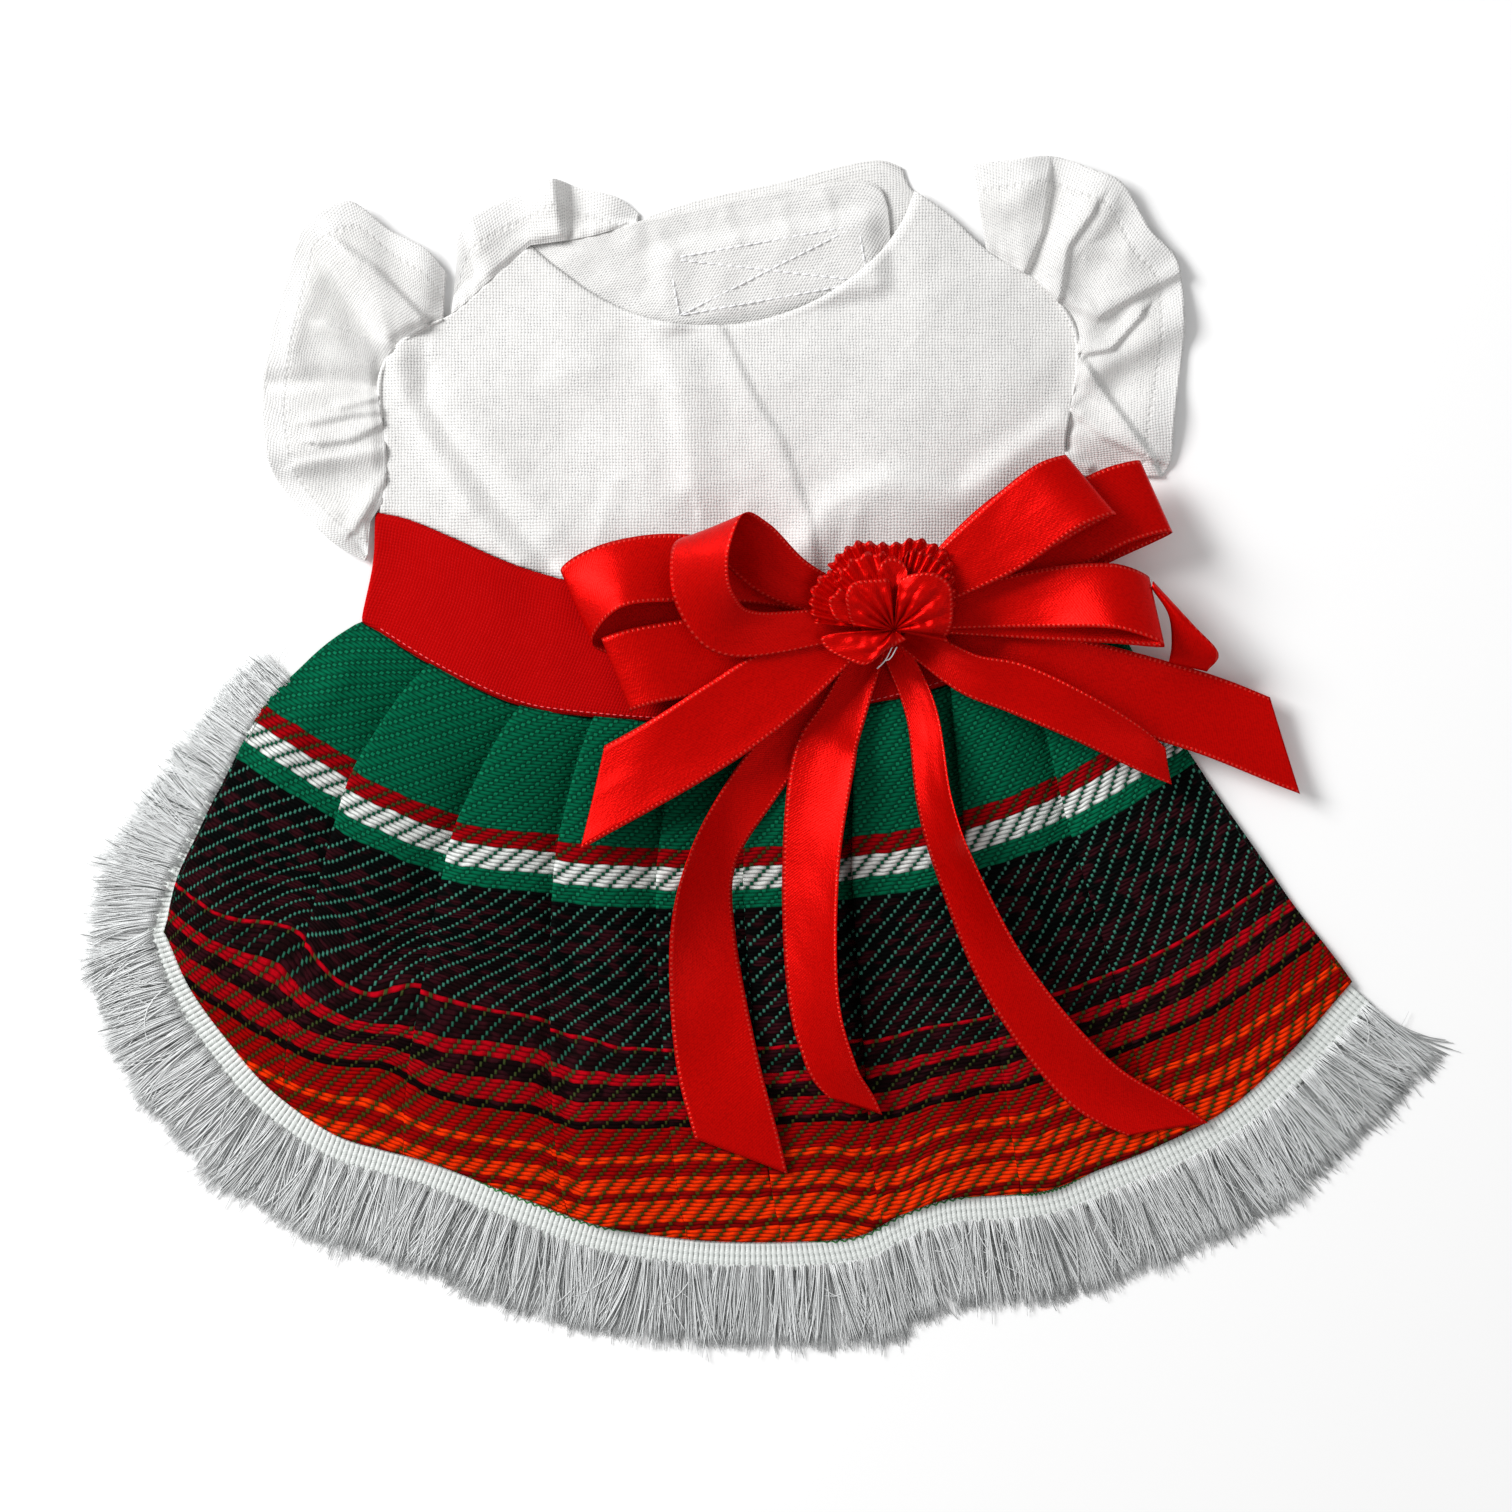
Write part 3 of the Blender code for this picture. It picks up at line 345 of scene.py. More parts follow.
def cotton(name, base, gap, hem_lighter, stitched):
    """Plain weave: gaps where |sin| of both yarn directions is small, dents along the hem's stitches."""
    material, tree, surface = start_material(
        name, Roughness=0.9, Specular_IOR_Level=0.06)
    where = add_node(tree, "ShaderNodeAttribute", attribute_name="cloth")
    place = add_node(tree, "ShaderNodeSeparateXYZ", {0: where.outputs["Vector"]})
    wobble = add_node(tree, "ShaderNodeTexNoise", {"Vector": where.outputs["Vector"], "Scale": 0.5,
                                                   "Detail": 2.0})
    yarns = []
    for axis in (0, 1):
        bent = add_node(tree, "ShaderNodeMath", {0: wobble, 1: 0.9, 2: place.outputs[axis]},
                        operation="MULTIPLY_ADD")
        turns = add_node(tree, "ShaderNodeMath", {0: bent, 1: math.pi / YARN_MM}, operation="MULTIPLY")
        wave = add_node(tree, "ShaderNodeMath", {0: turns}, operation="SINE")
        yarns.append(add_node(tree, "ShaderNodeMath", {0: wave}, operation="ABSOLUTE"))
    grain = add_node(tree, "ShaderNodeMath", {0: yarns[0], 1: yarns[1]}, operation="ADD")
    gaps = add_node(tree, "ShaderNodeMapRange", {"Value": grain, "From Min": 0.25, "From Max": 1.15,
                                                 "To Min": 1.0, "To Max": 0.0})
    slub = add_node(tree, "ShaderNodeTexNoise", {"Vector": where.outputs["Vector"], "Scale": 0.4,
                                                 "Detail": 3.0})
    bare = add_node(tree, "ShaderNodeMapRange", {"Value": slub, "From Min": 0.35, "From Max": 0.65,
                                                 "To Min": 0.2, "To Max": 0.85})
    weave = add_node(tree, "ShaderNodeMath", {0: gaps, 1: bare}, operation="MULTIPLY")
    colour = add_node(tree, "ShaderNodeMix", {0: weave, 6: linear(base), 7: linear(gap)},
                      data_type="RGBA")
    hem = add_node(tree, "ShaderNodeMapRange", {"Value": place.outputs[2], "From Min": HEM_STITCH_MM,
                                                "From Max": HEM_STITCH_MM - 1.2,
                                                "To Min": 0.0, "To Max": hem_lighter})
    whiter = add_node(tree, "ShaderNodeMix", {0: hem, 6: colour.outputs[2], 7: (1.0, 1.0, 1.0, 1.0)},
                      data_type="RGBA")
    tree.links.new(whiter.outputs[2], surface.inputs["Base Color"])
    height = grain
    if stitched:
        off = add_node(tree, "ShaderNodeMath", {0: place.outputs[2], 1: HEM_STITCH_MM},
                       operation="SUBTRACT")
        near = add_node(tree, "ShaderNodeMath", {0: off}, operation="ABSOLUTE")
        dent = add_node(tree, "ShaderNodeMapRange", {"Value": near, "From Min": 0.2, "From Max": 1.0,
                                                     "To Min": -2.4, "To Max": 0.0})
        step = add_node(tree, "ShaderNodeMath", {0: place.outputs[0], 1: 2 * math.pi / 2.8},
                        operation="MULTIPLY")
        beat = add_node(tree, "ShaderNodeMath", {0: step}, operation="SINE")
        share = add_node(tree, "ShaderNodeMapRange", {"Value": beat, "From Min": -0.2, "From Max": 0.5})
        height = add_node(tree, "ShaderNodeMath", {0: dent, 1: share, 2: grain},
                          operation="MULTIPLY_ADD")
    fine = add_node(tree, "ShaderNodeBump", {"Height": height, "Strength": 0.55, "Distance": 0.00018})
    creases = add_node(tree, "ShaderNodeTexNoise", {"Vector": where.outputs["Vector"], "Scale": 0.05,
                                                    "Detail": 2.0, "Roughness": 0.4})
    soft = add_node(tree, "ShaderNodeBump", {"Height": creases, "Strength": 0.3, "Distance": 0.002,
                                             "Normal": fine})
    tree.links.new(soft.outputs[0], surface.inputs["Normal"])
    return material


white_cotton = cotton("white_cotton_plain_weave", "#e5e4e2", "#77797e", 0.2, True)
red_cotton = cotton("red_cotton_plain_weave", "#ad0000", "#c80f14", 0.0, False)
floor_paper = cotton("pale_paper_backdrop", "#fbfbfb", "#f6f6f6", 0.0, False)
floor.data.materials.append(floor_paper)

# %% [markdown]
# ### Satin ribbon
# Woven satin has long floats that lie side by side, so it mirrors light softly and in its own
# colour: bright orange red where it turns to the lamp and deep red where it turns away. Both edges
# have a row of tiny looped stitches, which show as pale dots.

# %% Satin
PICOT_MM = 1.6


def satin(name, base):
    """Soft coloured gloss, fine slanting floats, and dots a pitch apart just inside both edges."""
    material, tree, surface = start_material(
        name, Metallic=0.55, Roughness=0.38, Specular_IOR_Level=0.08)
    where = add_node(tree, "ShaderNodeAttribute", attribute_name="cloth")
    place = add_node(tree, "ShaderNodeSeparateXYZ", {0: where.outputs["Vector"]})
    lean = add_node(tree, "ShaderNodeMath", {0: place.outputs[0], 1: 1.7, 2: place.outputs[1]},
                    operation="MULTIPLY_ADD")
    turns = add_node(tree, "ShaderNodeMath", {0: lean, 1: 2 * math.pi / 1.5}, operation="MULTIPLY")
    floats = add_node(tree, "ShaderNodeMath", {0: turns}, operation="SINE")
    off = add_node(tree, "ShaderNodeMath", {0: place.outputs[2], 1: 0.75}, operation="SUBTRACT")
    near = add_node(tree, "ShaderNodeMath", {0: off}, operation="ABSOLUTE")
    band = add_node(tree, "ShaderNodeMapRange", {"Value": near, "From Min": 0.6, "From Max": 0.25})
    step = add_node(tree, "ShaderNodeMath", {0: place.outputs[0], 1: 2 * math.pi / PICOT_MM},
                    operation="MULTIPLY")
    beat = add_node(tree, "ShaderNodeMath", {0: step}, operation="SINE")
    dots = add_node(tree, "ShaderNodeMapRange", {"Value": beat, "From Min": -0.1, "From Max": 0.6})
    picot = add_node(tree, "ShaderNodeMath", {0: band, 1: dots}, operation="MULTIPLY")
    dark = add_node(tree, "ShaderNodeMix", {0: 0.5, 6: linear(base), 7: linear("#990000")},
                    data_type="RGBA")
    flecks = add_node(tree, "ShaderNodeTexNoise", {"Vector": where.outputs["Vector"], "Scale": 1.1,
                                                   "Detail": 2.0})
    fleck = add_node(tree, "ShaderNodeMapRange", {"Value": flecks, "From Min": 0.35, "From Max": 0.7,
                                                  "To Min": 0.0, "To Max": 0.45})
    grain = add_node(tree, "ShaderNodeMath", {0: floats, 1: 0.12, 2: fleck}, operation="MULTIPLY_ADD")
    tree.links.new(grain.outputs[0], dark.inputs[0])
    faded = add_node(tree, "ShaderNodeMath", {0: picot, 1: 0.35}, operation="MULTIPLY")
    colour = add_node(tree, "ShaderNodeMix", {0: faded, 6: dark.outputs[2], 7: linear("#ff5a4c")},
                      data_type="RGBA")
    tree.links.new(colour.outputs[2], surface.inputs["Base Color"])
    height = add_node(tree, "ShaderNodeMath", {0: picot, 1: 2.0, 2: grain}, operation="MULTIPLY_ADD")
    fine = add_node(tree, "ShaderNodeBump", {"Height": height, "Strength": 0.4, "Distance": 0.0002})
    waves = add_node(tree, "ShaderNodeTexNoise", {"Vector": where.outputs["Vector"], "Scale": 0.05,
                                                  "Detail": 1.0})
    soft = add_node(tree, "ShaderNodeBump", {"Height": waves, "Strength": 0.4, "Distance": 0.002,
                                             "Normal": fine})
    tree.links.new(soft.outputs[0], surface.inputs["Normal"])
    return material


red_satin = satin("red_satin_ribbon", "#cf0400")

# %% [markdown]
# ### Serape cloth
# Serape cloth is woven from thick coloured weft over a thin green warp. Each pick is about 1.2 mm
# high. The weft floats over most of the warp and is tied down by a green dot about every 6.4 mm,
# and each pick's dots stand a fifth of a repeat further on, so they line up into slanting dotted
# lines. The stripes are whole picks of one colour, charted here from the waist down.

# Shade is painted into the colour too: each pick darkens towards its edges, and the weft towards each tie.
# %% Serape
PICK_MM = 1.19
REPEAT_MM = 6.4
STRIPES = (
    (0.0, "#005f40"), (40.0, "#9c0008"), (46.0, "#e4e8e4"), (53.8, "#006242"), (59.8, "#040505"),
    (86.0, "#0a0405"), (94.0, "#160507"), (103.0, "#b20014"), (105.4, "#180507"),
    (111.7, "#ad0010"), (116.0, "#120305"), (120.5, "#a2000a"), (126.3, "#0e0203"),
    (128.5, "#9c0000"), (137.0, "#ee3000"), (139.4, "#920000"), (144.6, "#ec2e00"),
    (149.0, "#860000"), (152.0, "#ee3000"), (158.5, "#760000"), (161.0, "#ec3000"),
)
TIES = (
    (0.0, "#0a7450"), (40.0, "#36401c"), (46.0, "#0c5238"), (53.8, "#0a7450"), (59.8, "#3f7f6c"),
    (103.0, "#3a4620"), (106.0, "#2a6450"), (111.7, "#3a4620"), (124.0, "#3a3f16"),
    (137.0, "#3c3c0c"),
)
CHART_MM = 170.0


def serape(name):
    """Picks by the fraction of v over the pick, ties where the slanted phase is near one half; painted shade
    darkens each pick's edges and the weft beside each tie.
    """
    material, tree, surface = start_material(
        name, Roughness=0.85, Specular_IOR_Level=0.05)
    where = add_node(tree, "ShaderNodeAttribute", attribute_name="cloth")
    place = add_node(tree, "ShaderNodeSeparateXYZ", {0: where.outputs["Vector"]})
    u, v = place.outputs[0], place.outputs[1]
    bend = add_node(tree, "ShaderNodeTexNoise", {"Vector": where.outputs["Vector"], "Scale": 0.12,
                                                 "Detail": 2.0})
    down = add_node(tree, "ShaderNodeMath", {0: bend, 1: 1.6, 2: v}, operation="MULTIPLY_ADD")
    picks = add_node(tree, "ShaderNodeMath", {0: down, 1: PICK_MM}, operation="DIVIDE")
    number = add_node(tree, "ShaderNodeMath", {0: picks}, operation="FLOOR")
    inside = add_node(tree, "ShaderNodeMath", {0: picks}, operation="FRACT")
    middle = add_node(tree, "ShaderNodeMath", {0: number, 1: PICK_MM / CHART_MM},
                      operation="MULTIPLY")
    slant = add_node(tree, "ShaderNodeMath", {0: number, 1: 0.2}, operation="MULTIPLY")
    phase = add_node(tree, "ShaderNodeMath", {0: u, 1: 1 / REPEAT_MM, 2: slant},
                     operation="MULTIPLY_ADD")
    turn = add_node(tree, "ShaderNodeMath", {0: phase}, operation="FRACT")
    centred = add_node(tree, "ShaderNodeMath", {0: turn, 1: 0.5}, operation="SUBTRACT")
    away = add_node(tree, "ShaderNodeMath", {0: centred}, operation="ABSOLUTE")
    up = add_node(tree, "ShaderNodeMath", {0: inside, 1: math.pi}, operation="MULTIPLY")
    round_pick = add_node(tree, "ShaderNodeMath", {0: up}, operation="SINE")
    weft = add_node(tree, "ShaderNodeValToRGB", {0: middle})
    fill_ramp(weft.color_ramp, [(v / CHART_MM, c) for v, c in STRIPES], "CONSTANT")
    warp = add_node(tree, "ShaderNodeValToRGB", {0: middle})
    fill_ramp(warp.color_ramp, [(v / CHART_MM, c) for v, c in TIES], "CONSTANT")
    dark_weft = add_node(tree, "ShaderNodeSeparateColor", {0: weft})
    is_dark = add_node(tree, "ShaderNodeMath", {0: dark_weft.outputs[0], 1: 0.05},
                       operation="LESS_THAN")
    no_green = add_node(tree, "ShaderNodeMath", {0: dark_weft.outputs[1], 1: 0.05},
                        operation="LESS_THAN")
    black_only = add_node(tree, "ShaderNodeMath", {0: is_dark, 1: no_green}, operation="MULTIPLY")
    narrower = add_node(tree, "ShaderNodeMath", {0: black_only, 1: 0.03, 2: away},
                        operation="MULTIPLY_ADD")
    tie = add_node(tree, "ShaderNodeMapRange", {"Value": narrower, "From Min": 0.115,
                                                "From Max": 0.065})
    hollow = add_node(tree, "ShaderNodeMapRange", {"Value": away, "From Min": 0.36,
                                                   "From Max": 0.10})
    stretch = add_node(tree, "ShaderNodeMapping", {"Vector": where.outputs["Vector"],
                                                   "Scale": (0.35, 3.2, 0.0)})
    hairs = add_node(tree, "ShaderNodeTexNoise", {"Vector": stretch, "Scale": 1.0, "Detail": 3.0})
    blocks = add_node(tree, "ShaderNodeMapping", {"Vector": where.outputs["Vector"],
                                                  "Scale": (0.10, 0.26, 0.0),
                                                  "Rotation": (0.0, 0.0, 0.25)})
    patches = add_node(tree, "ShaderNodeTexNoise", {"Vector": blocks, "Scale": 1.0, "Detail": 1.0})
    in_black = add_node(tree, "ShaderNodeMapRange", {"Value": middle, "From Min": 60.0 / CHART_MM,
                                                     "From Max": 68.0 / CHART_MM})
    past_black = add_node(tree, "ShaderNodeMath", {0: middle, 1: 128.0 / CHART_MM},
                          operation="LESS_THAN")
    spots = add_node(tree, "ShaderNodeMapRange", {"Value": patches, "From Min": 0.5, "From Max": 0.56,
                                                  "To Max": 0.75})
    maroon_part = add_node(tree, "ShaderNodeMath", {0: spots, 1: in_black}, operation="MULTIPLY")
    maroon_here = add_node(tree, "ShaderNodeMath", {0: maroon_part, 1: past_black},
                           operation="MULTIPLY")
    maroon = add_node(tree, "ShaderNodeMath", {0: maroon_here, 1: black_only}, operation="MULTIPLY")
    yarn = add_node(tree, "ShaderNodeMix", {0: maroon, 6: weft, 7: linear("#350c14")},
                    data_type="RGBA")
    # Painted shade: each pick is darkened towards its edges, down to 0.42 of its colour, as in the groove
    # between picks.
    shade = add_node(tree, "ShaderNodeMapRange", {"Value": round_pick, "From Min": 0.0,
                                                  "From Max": 0.75, "To Min": 0.42, "To Max": 1.0})
    streak = add_node(tree, "ShaderNodeMapRange", {"Value": hairs, "From Min": 0.3, "From Max": 0.7,
                                                   "To Min": 0.78, "To Max": 1.16})
    # Painted shade: the weft is darkened towards each tie, down to 0.36, as in the hollow there. It is also
    # lightened a little, to 1.08, on the middle of each float.
    sink = add_node(tree, "ShaderNodeMapRange", {"Value": hollow, "To Min": 1.08, "To Max": 0.36})
    # light and lights carry the painted shade and the hair streaks. The ties take light, so they carry the
    # painted pick shade too.
    light = add_node(tree, "ShaderNodeMath", {0: shade, 1: streak}, operation="MULTIPLY")
    lights = add_node(tree, "ShaderNodeMath", {0: light, 1: sink}, operation="MULTIPLY")
    shaded = add_node(tree, "ShaderNodeVectorMath", {0: yarn.outputs[2], 1: lights},
                      operation="MULTIPLY")
    tied = add_node(tree, "ShaderNodeVectorMath", {0: warp, 1: light}, operation="MULTIPLY")
    colour = add_node(tree, "ShaderNodeMix", {0: tie, 6: shaded, 7: tied}, data_type="RGBA")
    tree.links.new(colour.outputs[2], surface.inputs["Base Color"])
    raised = add_node(tree, "ShaderNodeMath", {0: tie, 1: 0.6, 2: round_pick},
                      operation="MULTIPLY_ADD")
    dipped = add_node(tree, "ShaderNodeMath", {0: hollow, 1: -0.7, 2: raised},
                      operation="MULTIPLY_ADD")
    rough = add_node(tree, "ShaderNodeMath", {0: hairs, 1: 0.6, 2: dipped}, operation="MULTIPLY_ADD")
    bump = add_node(tree, "ShaderNodeBump", {"Height": rough, "Strength": 0.7, "Distance": 0.0005})
    tree.links.new(bump.outputs[0], surface.inputs["Normal"])
    return material


serape_cloth = serape("serape_weave")

# %% [markdown]
# ### Fringe and threads
# The fringe is rayon: smooth, bright and a little see-through. Its strands and the header's cords run
# from white to a dark grey, painted shade where they lie under or between others, and some strands
# are fully grey, painted shade of strands that catch no light. The same recipe in other colours serves
# for sewing threads.

# %% Rayon and thread


def thread(name, bright, dark_tone_and_shade, gloss):
    """Colour between bright and dark_tone_and_shade by the cloth attribute's first value, with fine twist
    lines; on the fringe and its header the darker colour is painted shade.
    """
    material, tree, surface = start_material(
        name, Roughness=gloss, Specular_IOR_Level=0.6, Sheen_Weight=0.1)
    where = add_node(tree, "ShaderNodeAttribute", attribute_name="cloth")
    place = add_node(tree, "ShaderNodeSeparateXYZ", {0: where.outputs["Vector"]})
    colour = add_node(tree, "ShaderNodeMix", {0: place.outputs[0], 6: linear(bright),
                                              7: linear(dark_tone_and_shade)}, data_type="RGBA")
    tree.links.new(colour.outputs[2], surface.inputs["Base Color"])
    turns = add_node(tree, "ShaderNodeMath", {0: place.outputs[1], 1: 2 * math.pi / 0.8},
                     operation="MULTIPLY")
    twist = add_node(tree, "ShaderNodeMath", {0: turns}, operation="SINE")
    bump = add_node(tree, "ShaderNodeBump", {"Height": twist, "Strength": 0.2, "Distance": 0.0001})
    tree.links.new(bump.outputs[0], surface.inputs["Normal"])
    return material


# The dark greys of fringe and cord are painted shade, for strands under others and for the grooves between
# cords.
white_rayon = thread("white_rayon_fringe", "#e6e8e8", "#5c605f", 0.38)
header_cord = thread("white_rayon_cord", "#dfe3e0", "#39443e", 0.5)
white_thread = thread("white_sewing_thread", "#f1f1f3", "#c8c9cc", 0.6)
pink_thread = thread("pink_red_sewing_thread", "#ff5a5e", "#b80008", 0.6)
green_thread = thread("green_overlock_thread", "#1d8a2c", "#0c5a2a", 0.5)
hook_loop = thread("nylon_hook_and_loop_tape", "#f0f0f0", "#dddddd", 0.8)
print("materials:", len(bpy.data.materials))

# %% [markdown]
# ## Layers
# Each layer of the flat dress lies on the one below. These are the heights of the middle of the
# cloth on the floor, one layer up, and over the closure's tape.

# %% Heights of the layers
ON_FLOOR = 0.5
ONE_LAYER = 1.9
TAPE_LEVEL = 2.3
ON_TAPE = 4.2
COTTON_THICK = 0.5
SERAPE_THICK = 0.9
RIBBON_THICK = 0.25
pieces = {}

# %% [markdown]
# ## Bodice
# The bodice is cut as one body: the back lies on top, and the two front flaps wrap round the body
# and close over each other with hook-and-loop tape. Laid flat, the flaps lie underneath and show
# through the scooped neck. The upper panel keeps a soft loft and a few creases from folding.

# %% Outlines of the bodice
NECKLINE = (
    (-71.8, 160.4), (-62.3, 152.5), (-49.7, 143.7), (-33.9, 137.3), (-18.0, 135.1),
    (0.9, 136.7), (19.9, 143.7), (35.8, 155.1), (45.3, 166.8), (50.0, 177.8),
)
BODICE_LEFT = (
    (-71.8, 160.4), (-84.5, 149.4), (-95.6, 139.5), (-105.1, 134.8), (-113.6, 129.1),
    (-119.0, 120.9), (-119.9, 111.4), (-118.0, 98.7), (-117.7, 87.7), (-119.6, 75.6),
)
BODICE_RIGHT = (
    (50.0, 177.8), (61.1, 169.9), (73.7, 158.2), (85.8, 151.3), (94.9, 143.4),
    (100.9, 133.5), (101.9, 122.5), (100.0, 111.1), (97.8, 97.2), (100.9, 82.9),
)
WAIST_TOP = (
    (-119.6, 75.6), (-110.1, 73.4), (-95.6, 67.4), (-81.0, 60.8), (-68.0, 56.3), (-43.4, 50.1),
    (-18.0, 47.8), (10.4, 48.1), (38.9, 52.5), (64.2, 59.8), (83.2, 68.7), (100.9, 82.9),
)
FLAP_LEFT_TOP = (
    (-71.8, 160.4), (-52.8, 163.3), (-37.0, 168.2), (-18.0, 172.6), (-2.2, 176.3), (18.0, 179.5),
    (31.3, 181.0), (38.9, 178.6), (41.5, 172.6),
)
FLAP_LEFT_END = ((41.5, 172.6), (42.7, 158.9), (44.0, 127.2), (45.3, 89.2), (46.2, 54.4))
FLAP_RIGHT_TOP = (
    (-35.0, 169.6), (-18.0, 175.0), (7.3, 180.5), (26.3, 185.5), (38.9, 187.5), (46.8, 184.8),
    (50.0, 177.8),
)
FLAP_RIGHT_END = ((-35.0, 169.6), (-35.0, 49.4))
TAPE_CORNERS = np.array(((-29.7, 156.3), (33.9, 167.7), (37.2, 148.6), (-26.4, 137.2)))

# Creases of the upper panel: points of the line, height, width on its left and on its right
BODICE_CREASES = (
    (((-11.1, 133.2), (-1.9, 113.0), (7.3, 98.1), (16.1, 73.7), (18.4, 57.6)), 1.1, 1.2, 6.0),
    (((-36.4, 140.2), (-26.3, 124.0), (-22.2, 106.0), (-20.0, 84.0)), 1.7, 9.0, 5.0),
    (((-113.6, 124.0), (-111.4, 113.0), (-103.5, 98.7), (-90.8, 78.2), (-75.0, 60.8)), 2.6, 7.0, 4.0),
    (((-104.5, 121.0), (-105.1, 111.4), (-96.2, 97.2), (-81.9, 78.2), (-66.1, 60.1)), -1.9, 3.0, 7.0),
    (((-95.9, 111.0), (-80.0, 90.0), (-65.5, 70.6)), 1.2, 6.0, 5.0),
    (((96.0, 104.0), (64.9, 80.7), (41.1, 85.1), (25.0, 78.5), (13.9, 62.3)), 2.2, 8.0, 5.0),
    (((74.0, 152.0), (60.0, 140.0), (84.0, 118.0)), 0.8, 14.0, 12.0),
    (((-62.0, 132.0), (-40.0, 124.0), (-58.0, 104.0)), -0.9, 12.0, 10.0),
    (((-52.0, 58.0), (-46.0, 84.0)), 0.6, 3.0, 5.0), (((-8.0, 54.0), (-4.0, 78.0)), 0.5, 3.0, 4.0),
    (((28.0, 60.0), (31.0, 74.0)), 0.6, 2.5, 3.5),
)

# Puckers of the left flap beside the tape's stitching
FLAP_PUCKERS = (
    (((-40.0, 172.0), (-36.0, 150.0), (-33.0, 138.0)), 0.9, 3.0, 5.0),
    (((-31.0, 164.0), (-26.0, 158.0)), 0.8, 1.5, 2.5), (((-52.0, 160.0), (-40.0, 148.0)), 0.6, 4.0, 6.0),
    (((-10.0, 170.0), (-6.0, 162.0)), 0.6, 2.0, 2.0), (((8.0, 173.0), (10.0, 165.0)), 0.5, 2.0, 2.5),
    (((22.0, 176.0), (24.0, 168.0)), 0.5, 1.5, 2.5),
)

# %% Heights of the bodice


def flap_height(plan):
    """Left flap: on the floor, up one layer where it lies over the right flap, up again on the tape."""
    over = smoothstep(-74.0, -52.0, plan[..., 0]) * (ONE_LAYER - ON_FLOOR)
    run = TAPE_CORNERS[1] - TAPE_CORNERS[0]
    run = run / np.linalg.norm(run)
    offset = plan - TAPE_CORNERS.mean(axis=0)
    end = smoothstep(40.0, 32.0, np.abs(offset @ run))
    side = smoothstep(16.0, 9.5, np.abs(offset @ np.array([-run[1], run[0]])))
    return ON_FLOOR + over + (ON_TAPE - ONE_LAYER) * end * side


def bodice_height(plan, u, v):
    """Upper panel: above the flaps by a layer, plus loft away from its sides, plus creases."""
    past_flap = smoothstep(50.0, 74.0, plan[..., 0])
    under = flap_height(plan) * (1 - past_flap) + ON_FLOOR * past_flap
    inside = smoothstep(0.0, 0.16, u) * smoothstep(1.0, 0.84, u)
    inside = inside * (0.35 + 0.65 * smoothstep(0.0, 0.3, v)) * (0.45 + 0.55 * smoothstep(1.0, 0.8, v))
    height = under + 1.75 + 2.1 * inside
    for points, high, left_wide, right_wide in BODICE_CREASES:
        height = height + ridge(plan, points, high, left_wide, right_wide)
    height = height + rumple(plan, 42.0, 0.5, 3) * inside + rumple(plan, 13.0, 0.1, 8)
    return height - 0.9 * smoothstep(0.02, 0.0, v) - 0.7 * smoothstep(0.985, 1.0, v)


# %% Cut the bodice
bodice_plan = patch(curve(NECKLINE), curve(WAIST_TOP), curve(BODICE_LEFT), curve(BODICE_RIGHT))
u, v = np.meshgrid(np.linspace(0, 1, 190), np.linspace(0, 1, 106))
plan = bodice_plan(u, v)
bodice_grid = np.dstack([plan, bodice_height(plan, u, v)])
pieces["bodice_upper"] = cloth_piece(
    "bodice_upper_cloth", bodice_grid, white_cotton, COTTON_THICK,
    np.dstack([plan, np.full(u.shape, 99.0)]), "bodice_upper")

waist = smooth_rows(WAIST_TOP, np.linspace(0, 1, 200))
waist_share = lengths_along(waist) / lengths_along(waist)[-1]
left_stop = np.interp(FLAP_LEFT_END[-1][0], waist[:, 0], waist_share)
right_start = np.interp(FLAP_RIGHT_END[-1][0], waist[:, 0], waist_share)
u, v = np.meshgrid(np.linspace(0, 1, 110), np.linspace(0, 1, 80))
left_plan = patch(curve(FLAP_LEFT_TOP), lambda s: curve(WAIST_TOP)(np.asarray(s) * left_stop),
                  curve(BODICE_LEFT), curve(FLAP_LEFT_END))(u, v)
left_height = flap_height(left_plan) + rumple(left_plan, 16.0, 0.3, 5)
for points, high, left_wide, right_wide in FLAP_PUCKERS:
    left_height = left_height + ridge(left_plan, points, high, left_wide, right_wide)
left_flap = np.dstack([left_plan, np.maximum(left_height, ON_FLOOR)])
pieces["bodice_under_left"] = cloth_piece(
    "bodice_under_left_cloth", left_flap, white_cotton, COTTON_THICK,
    grid_lengths(left_flap), "bodice_under_left")
right_low = curve(WAIST_TOP)
right_plan = patch(curve(FLAP_RIGHT_TOP[:-1]),
                   lambda s: right_low(right_start + np.asarray(s) * (1 - right_start)),
                   curve(FLAP_RIGHT_END),
                   curve(FLAP_RIGHT_TOP[-2:-1] + BODICE_RIGHT))(u[::2, ::2], v[::2, ::2])
right_flap = np.dstack([right_plan, ON_FLOOR + 0.2 + 0 * right_plan[..., 0]])
pieces["bodice_under_right"] = cloth_piece(
    "bodice_under_right_cloth", right_flap, white_cotton, COTTON_THICK,
    grid_lengths(right_flap), "bodice_under_right")
print("bodice", bodice_grid.shape, "left flap", left_flap.shape)

# %% [markdown]
# ## Closure tape and its stitching
# The tape lies between the flaps. Only its stitching shows: a box with two diagonals, sewn through
# the left flap, which pulls the cloth down a little along each row.

# %% Tape and stitched box
a, b, c, d = TAPE_CORNERS
u, v = np.meshgrid(np.linspace(0, 1, 30), np.linspace(0, 1, 10))
tape_plan = patch(line([a, b]), line([d, c]), line([a, d]), line([b, c]))(u, v)
tape_grid = np.dstack([tape_plan, np.full(u.shape, TAPE_LEVEL)])
pieces["closure_tape"] = cloth_piece("closure_tape_cloth", tape_grid, hook_loop, 1.8,
                                     grid_lengths(tape_grid), "closure_tape")

